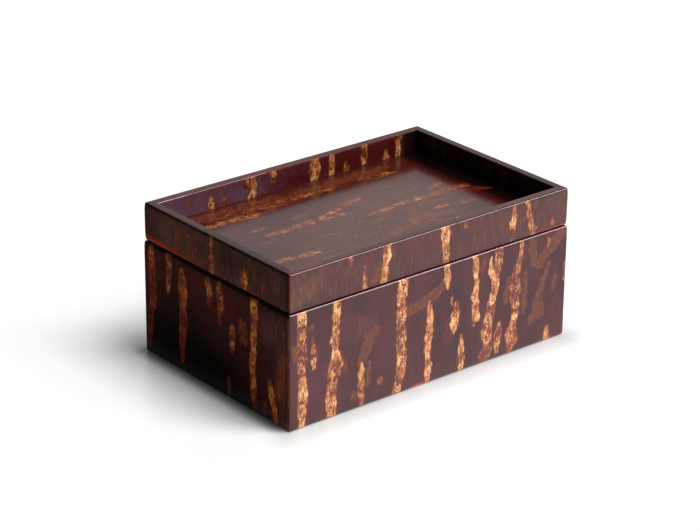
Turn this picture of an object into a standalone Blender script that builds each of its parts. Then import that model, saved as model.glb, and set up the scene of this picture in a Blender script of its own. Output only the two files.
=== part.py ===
"""A rectangular keepsake box of thin wooden boards covered in cherry bark.

Metres, +Z up. The origin is the centre of the underside, +X runs along the box
and the front faces -Y.

The lid meets the walls flush and lifts straight off. Lining boards inside the
walls stand up past the seam as a low lip, and the lid's skirt drops over it.
The lid's top is sunk between its rails, so it serves as a shallow tray.

Every wall is a sandwich: a core board, mitred at the corners, with a sheet of
bark glued on and bent round each long edge. The sheets meet in the middle of
the rounded edges. A shape is a profile of (depth, height) points, where depth
is measured in from the box's upright skin, and the profile is extruded along a
side from one mitre to the other.
"""

import math
from dataclasses import dataclass

import bmesh
import bpy

# Plan size and the heights that stack up to the closed box
LENGTH = 0.2000
WIDTH = 0.1300
BODY_HEIGHT = 0.0689
TRAY_DEPTH = 0.0130
SKIRT_DEPTH = 0.0030

# Thickness of the boards and of the bark
BOARD_THICKNESS = 0.0046
BOTTOM_THICKNESS = 0.0040
PANEL_THICKNESS = 0.0030
LINING_THICKNESS = 0.0022
BARK_THICKNESS = 0.0006

# Clearances
GLUE_GAP = 0.0003
MITRE_GAP = 0.0003
SEAT_GAP = 0.0003
LIP_CLEARANCE = 0.0003
LIP_HEADROOM = 0.0005

# Rounded and eased edges
CORNER_RADIUS = 0.0012
RIM_OUTER_RADIUS = 0.0010
RIM_INNER_RADIUS = 0.0008
SEAM_RADIUS = 0.0011
BASE_RADIUS = 0.0016
LIP_RADIUS = 0.0007

# The skin leans in a little towards the seam, more on the lid than on the body
LID_LEAN = 0.0003
LID_LEAN_HEIGHT = 0.0090
BODY_LEAN = 0.0002
BODY_LEAN_HEIGHT = 0.0050

# How far the boards are cut away to hold the bottom and the tray panel
REBATE_SHARE = 0.50
GROOVE_SHARE = 0.45

# Facets
ARC_STEPS = 3
CORE_STEPS = 1
LEAN_STEPS = 3
SHARP_ANGLE = math.radians(30)
MERGE_DISTANCE = 1e-7

# Depths of the layers of a wall, in from the skin
CORE_DEPTH = BARK_THICKNESS + GLUE_GAP
WALL_DEPTH = CORE_DEPTH + BOARD_THICKNESS
LINING_DEPTH = WALL_DEPTH + GLUE_GAP
INSIDE_DEPTH = LINING_DEPTH + LINING_THICKNESS
SKIRT_INNER_DEPTH = LINING_DEPTH - LIP_CLEARANCE
RIM_WIDTH = WALL_DEPTH + GLUE_GAP + BARK_THICKNESS

# Height of the bottom board, up from the surface that the box stands on
BOTTOM_TOP = CORE_DEPTH + BOTTOM_THICKNESS

# Heights in the lid, up from its lower edge
LID_CEILING = SKIRT_DEPTH
PANEL_BASE = LID_CEILING + BARK_THICKNESS + GLUE_GAP
PANEL_TOP = PANEL_BASE + PANEL_THICKNESS
TRAY_FLOOR = PANEL_TOP + GLUE_GAP + BARK_THICKNESS
LID_HEIGHT = TRAY_FLOOR + TRAY_DEPTH

LID_SEAT = BODY_HEIGHT + SEAT_GAP
LIP_TOP = LID_SEAT + LID_CEILING - LIP_HEADROOM


@dataclass(frozen=True)
class Edge:
    """A long edge of the box, where an upright face meets a level one.

    Attributes:
        level: Height of the level face.
        rise: 1 where the upright face stands above the level one, -1 where it
            hangs below it.
        radius: Rounding of the skin.
        lean: How far the upright face has leaned in where the rounding starts.
        lean_height: Height over which the upright face leans.
    """

    level: float
    rise: int
    radius: float
    lean: float = 0.0
    lean_height: float = 0.0


BASE_EDGE = Edge(0.0, 1, BASE_RADIUS)
BODY_SEAM_EDGE = Edge(BODY_HEIGHT, -1, SEAM_RADIUS, BODY_LEAN, BODY_LEAN_HEIGHT)
LID_SEAM_EDGE = Edge(0.0, 1, SEAM_RADIUS, LID_LEAN, LID_LEAN_HEIGHT)
RIM_EDGE = Edge(LID_HEIGHT, -1, RIM_OUTER_RADIUS)
TRAY_EDGE = Edge(LID_HEIGHT, -1, RIM_INNER_RADIUS)


@dataclass(frozen=True)
class Side:
    """One of the four sides, modelled as the front one and turned into place."""

    name: str
    run: float
    span: float
    quarter_turns: int


SIDES = (
    Side("front", LENGTH, WIDTH, 0),
    Side("right", WIDTH, LENGTH, 1),
    Side("back", LENGTH, WIDTH, 2),
    Side("left", WIDTH, LENGTH, 3),
)


def mitred_arc(radius, offset, steps):
    """Trace a rounded corner from its mitre to the flat of one face.

    Args:
        radius: Rounding of the skin at this corner.
        offset: How far inside the skin the line runs.
        steps: Number of chords in the arc.

    Returns:
        (along, inward) pairs. Both are measured from the skin's sharp corner,
        along the face and square to it. The first pair lies half a mitre gap
        short of the corner's middle.
    """
    centre = max(radius, offset)
    bend = centre - offset
    setback = MITRE_GAP / math.sqrt(2)
    if bend <= setback:
        return [(offset + setback, offset)] * (steps + 1)
    widest = math.acos(setback / (math.sqrt(2) * bend)) - math.pi / 4
    angles = [widest * (1 - step / steps) for step in range(steps + 1)]
    return [(centre - bend * math.sin(angle), centre - bend * math.cos(angle)) for angle in angles]


def leaning_points(edge, offset):
    """Trace the upright face from the end of its rounding to where it stands plumb."""
    if not edge.lean:
        return []
    start = max(edge.radius, offset)
    points = []
    for step in range(1, LEAN_STEPS + 1):
        climbed = step / LEAN_STEPS
        height = start + (edge.lean_height - start) * climbed
        points.append((offset + edge.lean * (1 - climbed) ** 2, edge.level + edge.rise * height))
    return points


def upright_line(edge, offset):
    """Trace a sheet on the upright face, from the mitre in the edge away from it."""
    arc = mitred_arc(edge.radius, offset, ARC_STEPS)
    rounding = [(edge.lean + inward, edge.level + edge.rise * along) for along, inward in arc]
    return rounding + leaning_points(edge, offset)


def level_line(edge, offset):
    """Trace a sheet on the level face, from the mitre in the edge away from it."""
    arc = mitred_arc(edge.radius, offset, ARC_STEPS)
    return [(edge.lean + along, edge.level + edge.rise * inward) for along, inward in arc]


def core_line(edge):
    """Trace a board's eased edge under the bark, from its level face to its upright one."""
    centre = max(edge.radius, CORE_DEPTH)
    bend = centre - CORE_DEPTH
    level_end = (edge.lean + centre, edge.level + edge.rise * CORE_DEPTH)
    upright_end = (edge.lean + CORE_DEPTH, edge.level + edge.rise * centre)
    ends = [level_end, upright_end] if bend else [level_end]
    return ends + leaning_points(edge, CORE_DEPTH)


def tray_side(points):
    """Turn a line about the rim's middle, so that depths count from the tray's wall."""
    return [(RIM_WIDTH - depth, height) for depth, height in points]


def skin_sheet_profile(low, high):
    """Bark on an upright outer face, bent round the edge below and the one above."""
    skin = upright_line(low, 0) + upright_line(high, 0)[::-1]
    back = upright_line(high, BARK_THICKNESS) + upright_line(low, BARK_THICKNESS)[::-1]
    return skin + back


def seam_strip_profile(edge, end_depth):
    """Bark on the level face at the seam, from the mitre in to the end depth."""
    skin = level_line(edge, 0)
    back = level_line(edge, BARK_THICKNESS)[::-1]
    end = [(end_depth, edge.level), (end_depth, edge.level + edge.rise * BARK_THICKNESS)]
    return skin + end + back


def rim_strip_profile():
    """Bark on top of the lid's rails, bent round the outer and the tray's edge."""
    skin = level_line(RIM_EDGE, 0) + tray_side(level_line(TRAY_EDGE, 0))[::-1]
    back = tray_side(level_line(TRAY_EDGE, BARK_THICKNESS)) + level_line(RIM_EDGE, BARK_THICKNESS)[::-1]
    return skin + back


def tray_wall_profile():
    """Bark on the tray's wall, from the rim down to the panel."""
    foot = PANEL_TOP + GLUE_GAP
    skin = tray_side(upright_line(TRAY_EDGE, 0))
    back = tray_side(upright_line(TRAY_EDGE, BARK_THICKNESS))[::-1]
    end = [(RIM_WIDTH, foot), (RIM_WIDTH - BARK_THICKNESS, foot)]
    return skin + end + back


def wall_board_profile():
    """A wall of the body, rebated at its foot for the bottom board."""
    rebate_depth = CORE_DEPTH + BOARD_THICKNESS * REBATE_SHARE
    rebate_top = BOTTOM_TOP + GLUE_GAP
    outside = core_line(BASE_EDGE) + core_line(BODY_SEAM_EDGE)[::-1]
    inside = [
        (WALL_DEPTH, BODY_HEIGHT - CORE_DEPTH),
        (WALL_DEPTH, rebate_top),
        (rebate_depth, rebate_top),
        (rebate_depth, CORE_DEPTH),
    ]
    return outside + inside


def rail_profile():
    """A rail of the lid, grooved for the tray panel, with the skirt below the groove."""
    groove_depth = WALL_DEPTH - BOARD_THICKNESS * GROOVE_SHARE
    groove_base = PANEL_BASE - GLUE_GAP
    groove_top = PANEL_TOP + GLUE_GAP
    outside = core_line(LID_SEAM_EDGE) + core_line(RIM_EDGE)[::-1]
    inside = [
        (WALL_DEPTH, LID_HEIGHT - CORE_DEPTH),
        (WALL_DEPTH, groove_top),
        (groove_depth, groove_top),
        (groove_depth, groove_base),
        (SKIRT_INNER_DEPTH, groove_base),
        (SKIRT_INNER_DEPTH, CORE_DEPTH),
    ]
    return outside + inside


def lining_profile():
    """A lining board, which stands on the bottom board and ends above the seam as the lip."""
    foot = BOTTOM_TOP + GLUE_GAP
    radius = min(LIP_RADIUS, LINING_THICKNESS / 2)
    centre_height = LIP_TOP - radius
    points = [(INSIDE_DEPTH, foot), (LINING_DEPTH, foot)]
    for centre_depth, first_angle in ((LINING_DEPTH + radius, math.pi), (INSIDE_DEPTH - radius, math.pi / 2)):
        for step in range(ARC_STEPS + 1):
            angle = first_angle - math.pi / 2 * step / ARC_STEPS
            depth = centre_depth + radius * math.cos(angle)
            points.append((depth, centre_height + radius * math.sin(angle)))
    return points


def extrude_through(name, sections):
    """Fill the first section, extrude it through the others and return the mesh.

    Args:
        name: Name of the new mesh.
        sections: Lists of points, all as long as the first. Points that fall
            together are merged, so a section may have fewer corners than another.

    Returns:
        The closed mesh, with its faces pointing out.
    """
    bm = bmesh.new()
    place = bm.verts.layers.int.new("place")
    corners = []
    for index, point in enumerate(sections[0]):
        corner = bm.verts.new(point)
        corner[place] = index
        corners.append(corner)
    face = bm.faces.new(corners)
    for section in sections[1:]:
        end = [face, *face.edges, *face.verts]
        made = bmesh.ops.extrude_face_region(bm, geom=end)["geom"]
        face = next(item for item in made if isinstance(item, bmesh.types.BMFace))
        for corner in face.verts:
            corner.co = section[corner[place]]
    bmesh.ops.remove_doubles(bm, verts=bm.verts[:], dist=MERGE_DISTANCE)
    bmesh.ops.recalc_face_normals(bm, faces=bm.faces[:])
    mesh = bpy.data.meshes.new(name)
    bm.to_mesh(mesh)
    bm.free()
    mesh.shade_smooth()
    mesh.set_sharp_from_angle(angle=SHARP_ANGLE)
    return mesh


def side_mesh(name, side, profile, steps):
    """Run a profile along one side, cut by the mitre planes at both ends."""
    cuts = [mitred_arc(CORNER_RADIUS, depth, steps) for depth, _ in profile]
    left = []
    for cut in zip(*cuts):
        section = zip(cut, profile)
        left.append([(along - side.run / 2, inward - side.span / 2, height)
                     for (along, inward), (_, height) in section])
    right = [[(-x, y, height) for x, y, height in section] for section in reversed(left)]
    return extrude_through(name, left + right)


def rounded_outline(depth, height, steps):
    """Points round the box's plan, a given depth inside the skin."""
    centre = max(CORNER_RADIUS, depth)
    bend = centre - depth
    points = []
    for turn, (toward_x, toward_y) in enumerate(((1, 1), (-1, 1), (-1, -1), (1, -1))):
        centre_x = toward_x * (LENGTH / 2 - centre)
        centre_y = toward_y * (WIDTH / 2 - centre)
        for step in range(steps + 1):
            angle = math.pi / 2 * (turn + step / steps)
            points.append((centre_x + bend * math.cos(angle), centre_y + bend * math.sin(angle), height))
    return points


def plate_mesh(name, depth, base, thickness):
    """A flat plate that fills the box's plan from a given depth inwards."""
    half_length = LENGTH / 2 - depth
    half_width = WIDTH / 2 - depth
    corners = ((1, 1), (-1, 1), (-1, -1), (1, -1))
    sections = [[(half_length * x, half_width * y, height) for x, y in corners]
                for height in (base, base + thickness)]
    return extrude_through(name, sections)


def underside_bark_mesh(name):
    """The sheet that the box stands on, its border bent up round the base edge."""
    back = level_line(BASE_EDGE, BARK_THICKNESS)[::-1]
    skin = level_line(BASE_EDGE, 0)
    sections = [rounded_outline(depth, height, ARC_STEPS * 2) for depth, height in back + skin]
    return extrude_through(name, sections)


def principled(name, colour, roughness, coat):
    """A plain surface of one colour under a thin polish."""
    material = bpy.data.materials.new(name)
    material.use_nodes = True
    shader = material.node_tree.nodes["Principled BSDF"]
    shader.inputs["Base Color"].default_value = (*colour, 1.0)
    shader.inputs["Roughness"].default_value = roughness
    shader.inputs["Metallic"].default_value = 0.0
    shader.inputs["Coat Weight"].default_value = coat
    material.diffuse_color = (*colour, 1.0)
    return material


def frame(name, height):
    """An empty that carries the pieces of one body."""
    empty = bpy.data.objects.new(name, None)
    empty.location = (0, 0, height)
    empty.empty_display_size = WIDTH / 2
    bpy.context.collection.objects.link(empty)
    return empty


def add_piece(mesh, parent, material, quarter_turns=0):
    """Link a mesh to the scene as a piece of one body, under the mesh's own name."""
    piece = bpy.data.objects.new(mesh.name, mesh)
    mesh.materials.append(material)
    piece.parent = parent
    piece.rotation_euler = (0, 0, math.pi / 2 * quarter_turns)
    bpy.context.collection.objects.link(piece)
    return piece


def add_ring(pattern, parent, material, profile, steps=ARC_STEPS):
    """Add one piece to each side, named after the side."""
    for side in SIDES:
        mesh = side_mesh(pattern.format(side.name), side, profile, steps)
        add_piece(mesh, parent, material, side.quarter_turns)


def build_body(parent, looks):
    """The box that the lid lifts off."""
    add_ring("body_{}_board", parent, looks["core"], wall_board_profile(), CORE_STEPS)
    add_ring("body_{}_outer_bark", parent, looks["skin"], skin_sheet_profile(BASE_EDGE, BODY_SEAM_EDGE))
    add_ring("body_{}_seam_bark", parent, looks["strip"], seam_strip_profile(BODY_SEAM_EDGE, WALL_DEPTH))
    add_ring("body_{}_lining_board", parent, looks["lining"], lining_profile(), CORE_STEPS)

    bottom_depth = CORE_DEPTH + BOARD_THICKNESS * REBATE_SHARE + GLUE_GAP
    bottom = plate_mesh("body_bottom_board", bottom_depth, CORE_DEPTH, BOTTOM_THICKNESS)
    add_piece(bottom, parent, looks["core"])
    add_piece(underside_bark_mesh("body_underside_bark"), parent, looks["strip"])
    floor = plate_mesh("body_floor_bark", INSIDE_DEPTH + GLUE_GAP, BOTTOM_TOP + GLUE_GAP, BARK_THICKNESS)
    add_piece(floor, parent, looks["tray"])


def build_lid(parent, looks):
    """The lid, whose top is the tray."""
    add_ring("lid_{}_rail", parent, looks["core"], rail_profile(), CORE_STEPS)
    add_ring("lid_{}_outer_bark", parent, looks["skin"], skin_sheet_profile(LID_SEAM_EDGE, RIM_EDGE))
    add_ring("lid_{}_seam_bark", parent, looks["strip"], seam_strip_profile(LID_SEAM_EDGE, SKIRT_INNER_DEPTH))
    add_ring("lid_{}_rim_bark", parent, looks["strip"], rim_strip_profile())
    add_ring("lid_{}_tray_bark", parent, looks["skin"], tray_wall_profile())

    panel_depth = WALL_DEPTH - BOARD_THICKNESS * GROOVE_SHARE + GLUE_GAP
    panel = plate_mesh("lid_tray_panel", panel_depth, PANEL_BASE, PANEL_THICKNESS)
    add_piece(panel, parent, looks["core"])
    floor = plate_mesh("lid_tray_floor_bark", RIM_WIDTH + GLUE_GAP, PANEL_TOP + GLUE_GAP, BARK_THICKNESS)
    add_piece(floor, parent, looks["tray"])
    ceiling = plate_mesh("lid_underside_bark", SKIRT_INNER_DEPTH + GLUE_GAP, LID_CEILING, BARK_THICKNESS)
    add_piece(ceiling, parent, looks["tray"])


def main():
    """Clear the scene and build the box."""
    for item in list(bpy.data.objects):
        bpy.data.objects.remove(item, do_unlink=True)
    looks = {
        "skin": principled("polished_bark", (0.085, 0.032, 0.030), 0.28, 0.6),
        "strip": principled("edge_bark", (0.060, 0.024, 0.022), 0.32, 0.5),
        "tray": principled("tray_bark", (0.110, 0.060, 0.045), 0.25, 0.6),
        "core": principled("core_wood", (0.420, 0.270, 0.150), 0.60, 0.0),
        "lining": principled("lining_wood", (0.180, 0.085, 0.045), 0.45, 0.2),
    }
    build_body(frame("body_frame", 0), looks)
    build_lid(frame("lid_frame", LID_SEAT), looks)
    bpy.context.view_layer.update()


main()
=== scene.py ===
"""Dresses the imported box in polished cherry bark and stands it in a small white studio.

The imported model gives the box, its lid and their joint. This script cuts a sheet of bark for
every side, bends it over the rounded edges, draws the bark's lenticels where the real sheets
have them, and sets up the floor, the lamps and the camera.
"""

import logging
import math
from collections.abc import Callable
from dataclasses import dataclass
from dataclasses import replace
from enum import Enum
from typing import Any

import bmesh
import bpy
import numpy as np
from mathutils import Matrix
from mathutils import Vector


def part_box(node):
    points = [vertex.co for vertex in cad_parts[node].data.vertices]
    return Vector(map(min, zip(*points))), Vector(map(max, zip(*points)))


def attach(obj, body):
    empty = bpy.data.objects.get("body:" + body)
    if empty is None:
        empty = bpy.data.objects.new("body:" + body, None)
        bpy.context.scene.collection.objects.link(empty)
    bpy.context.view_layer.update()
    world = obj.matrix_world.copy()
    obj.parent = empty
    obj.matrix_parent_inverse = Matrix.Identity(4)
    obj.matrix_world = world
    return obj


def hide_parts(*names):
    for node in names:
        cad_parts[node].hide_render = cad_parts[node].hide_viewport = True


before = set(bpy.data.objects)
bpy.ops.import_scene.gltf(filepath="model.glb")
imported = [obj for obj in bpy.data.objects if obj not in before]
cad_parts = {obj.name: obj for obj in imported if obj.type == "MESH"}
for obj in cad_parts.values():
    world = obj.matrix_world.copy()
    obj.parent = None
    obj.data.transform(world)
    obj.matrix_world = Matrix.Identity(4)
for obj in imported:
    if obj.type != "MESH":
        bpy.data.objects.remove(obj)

LOG = logging.getLogger("bark_box")
MM = 0.001
SEAM_DROP = 1.5 * MM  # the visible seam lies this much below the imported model's
LID_INSET = 0.4 * MM  # the lid's sides stand this much inside the box's
RAIL_INSET = 0.5 * MM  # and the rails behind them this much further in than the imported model's
RAIL_SKIN = 3.0 * MM  # how far inside the skin a rail's outer corners reach
SHEET_WELD = 0.0001 * MM  # points of a sheet nearer to each other than this become one
BOARD_WELD = 0.001 * MM  # and so do those of a board
SHARP_ANGLE = math.radians(35)
ARC_STEPS = 4  # in half of a rounded edge
FINE_RELIEF = 0.05 * MM  # depth of the pores and lenticels
OUTSIDE = 6.0  # millimetres outside a lenticel past which its distance isn't kept
EDGE_SHARE = 0.6  # of a patch's strength is left at the edge of its line
EYE_SEED = 5
LEAST_EYE = 0.9  # half width in millimetres of the smallest eye that is drawn
EYE_GAP = 0.9  # millimetres kept free between the halos of two eyes
EYE_HALO = 1.35  # how far a halo reaches, in half widths
LEAST_SHRINK = 0.3  # no eye is made smaller than this share of its size
EYE_REACH = 1.3  # how far an eye colours the bark, in half widths

Point = tuple[float, float]
Triple = tuple[float, float, float]
Colour = Triple


def math_method(operation: str, swapped: bool = False) -> Callable[..., "Wire"]:
    """Make a method of Wire that adds a Math node.

    Args:
        operation: The node's operation.
        swapped: Whether the other value comes first, as in a reflected operator.

    Returns:
        The method.
    """
    def method(self: "Wire", *others: Any) -> "Wire":
        """Add the Math node and return its result."""
        values = (*others, self) if swapped else (self, *others)
        return self.bench.add("ShaderNodeMath", {"operation": operation}, dict(enumerate(values)))
    return method


class Wire:
    """A socket's output, on which Python's operators build Math nodes."""

    __add__ = math_method("ADD")
    __radd__ = math_method("ADD", swapped=True)
    __sub__ = math_method("SUBTRACT")
    __rsub__ = math_method("SUBTRACT", swapped=True)
    __mul__ = math_method("MULTIPLY")
    __rmul__ = math_method("MULTIPLY", swapped=True)
    __truediv__ = math_method("DIVIDE")
    __abs__ = math_method("ABSOLUTE")
    least = math_method("MINIMUM")
    most = math_method("MAXIMUM")
    root = math_method("SQRT")
    pingpong = math_method("PINGPONG")

    def __init__(self, bench: "Bench", socket: bpy.types.NodeSocket) -> None:
        """Keep the socket and the bench that owns it."""
        self.bench = bench
        self.socket = socket

    def zigzag(self, pitch: float) -> "Wire":
        """A wave that rises to 1 and falls to 0 once in each pitch."""
        return (self / pitch).pingpong(0.5) * 2.0

    def rise(self, low: float, high: float) -> "Wire":
        """Go smoothly from 0 at low to 1 at high, or the other way where low is the larger.

        Args:
            low: Value at which the result is 0.
            high: Value at which the result is 1.

        Returns:
            The eased value, between 0 and 1.
        """
        names = ("From Min", "From Max", "To Min", "To Max")
        ends = (low, high, 0.0, 1.0) if low < high else (high, low, 1.0, 0.0)
        values = {"Value": self, **dict(zip(names, ends))}
        return self.bench.add("ShaderNodeMapRange", {"interpolation_type": "SMOOTHSTEP"}, values)


class Bench:
    """Builds the nodes of one material or of the world."""

    def __init__(self, owner: bpy.types.Material | bpy.types.World) -> None:
        """Clear the owner's nodes and take its tree."""
        owner.use_nodes = True
        self.owner = owner
        self.tree = owner.node_tree
        self.tree.nodes.clear()

    def node(self, kind: str, settings: dict[str, Any], values: dict[Any, Any]) -> bpy.types.Node:
        """Add one node.

        Args:
            kind: The node's type.
            settings: The node's own settings. They are set first, because they change its sockets.
            values: Numbers, colours, wires or sockets, by the name or number of the input.

        Returns:
            The new node.
        """
        made = self.tree.nodes.new(kind)
        for name, value in settings.items():
            setattr(made, name, value)
        for name, value in values.items():
            source = value.socket if isinstance(value, Wire) else value
            if isinstance(source, bpy.types.NodeSocket):
                self.tree.links.new(source, made.inputs[name])
            else:
                made.inputs[name].default_value = source
        return made

    def add(self, kind: str, settings: dict[str, Any], values: dict[Any, Any], output: Any = 0) -> Wire:
        """Add one node and return one of its outputs as a wire."""
        return Wire(self, self.node(kind, settings, values).outputs[output])

    def place(self) -> Wire:
        """The piece's own coordinates, in metres."""
        return self.add("ShaderNodeTexCoord", {}, {}, "Object")

    def split(self, vector: Wire | bpy.types.NodeSocket) -> list[Wire]:
        """The three numbers of a vector."""
        made = self.node("ShaderNodeSeparateXYZ", {}, {"Vector": vector})
        return [Wire(self, output) for output in made.outputs]

    def rays(self, *names: str) -> list[Wire]:
        """Whether a ray is of each of these kinds."""
        made = self.node("ShaderNodeLightPath", {}, {})
        return [Wire(self, made.outputs[f"Is {name} Ray"]) for name in names]

    def noise(self, scale: Triple, detail: float = 2.0, shift: Triple = (0.0, 0.0, 0.0)) -> Wire:
        """Soft noise, of about the given number of cells in a millimetre along each axis."""
        per_metre = tuple(axis / MM for axis in scale)
        values = {"Vector": self.place(), "Scale": per_metre, "Location": shift}
        stretched = self.add("ShaderNodeMapping", {}, values)
        values = {"Vector": stretched, "Scale": 1.0, "Detail": detail, "Roughness": 0.55}
        return self.add("ShaderNodeTexNoise", {"noise_dimensions": "3D"}, values)

    def attribute(self, name: str, output: str = "Fac") -> Wire:
        """A value, or with the output Vector three of them, that the sheet's own vertices carry."""
        return self.add("ShaderNodeAttribute", {"attribute_name": name}, {}, output)

    def mix(self, share: Any, first: Any, second: Any) -> Wire:
        """Mix two colours, from the first at 0 to the second at 1."""
        colours = [(*c, 1.0) if isinstance(c, tuple) else c for c in (first, second)]
        values = {"Factor": share, 6: colours[0], 7: colours[1]}
        return self.add("ShaderNodeMix", {"data_type": "RGBA", "clamp_factor": True}, values, 2)

    def polish(self, relief: Wire, strength: float, values: dict[str, Any]) -> None:
        """Finish a material with a Principled shader over a fine relief.

        Args:
            relief: The relief's height.
            strength: How strongly it shows.
            values: The shader's values, by the names of its sockets.
        """
        bumps = {"Strength": strength, "Distance": FINE_RELIEF, "Height": relief}
        normal = self.add("ShaderNodeBump", {}, bumps)
        self.surface(self.node("ShaderNodeBsdfPrincipled", {}, {**values, "Normal": normal}))

    def surface(self, shader: bpy.types.Node) -> None:
        """Connect the finished shader to the material's or the world's output."""
        kind = "World" if isinstance(self.owner, bpy.types.World) else "Material"
        self.node(f"ShaderNodeOutput{kind}", {}, {"Surface": shader.outputs[0]})


class Grain(Enum):
    """The way that a sheet's grain and its lenticels run."""

    UPRIGHT = (1.0, 1.0, 0.10)
    LENGTHWISE = (0.10, 1.0, 1.0)
    CROSSWISE = (1.0, 0.10, 1.0)

    def scaled(self, across: float, along: float = 1.0) -> Triple:
        """Noise cells in a millimetre: across the grain as given, and fewer along it."""
        return tuple(across if axis == 1.0 else across * along for axis in self.value)


@dataclass(frozen=True)
class BarkNoise:
    """The soft noises that the bark's pattern is drawn with, from the broadest to the finest."""

    broad: Wire
    patch: Wire
    section: Wire
    blotch: Wire
    middle: Wire
    wisp: Wire
    dash: Wire
    fibre: Wire
    speck: Wire

    @classmethod
    def on(cls, bench: Bench, grain: Grain) -> "BarkNoise":
        """Add every noise, drawn out along the grain.

        Args:
            bench: The bench of the material.
            grain: The way that the grain runs.

        Returns:
            The noises.
        """
        along = grain.scaled
        return cls(
            broad=bench.noise(along(0.045, 0.5), 3.0),
            patch=bench.noise(along(0.075, 0.6), 2.0, (31.0, 7.0, 3.0)),
            section=bench.noise(along(0.13, 1.3), 1.0, (13.0, 3.0, 27.0)),
            blotch=bench.noise(along(0.42, 0.7), 2.0, (3.0, 11.0, 5.0)),
            middle=bench.noise(along(0.95, 0.75), 2.0, (17.0, 2.0, 9.0)),
            wisp=bench.noise(along(1.15, 0.22), 2.0, (7.0, 19.0, 2.0)),
            dash=bench.noise(along(0.75, 0.22), 1.0, (23.0, 5.0, 11.0)),
            fibre=bench.noise(along(2.4, 0.035), 2.0, (2.0, 3.0, 41.0)),
            speck=bench.noise(along(2.1, 0.8), 1.0, (5.0, 23.0, 1.0)),
        )


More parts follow.
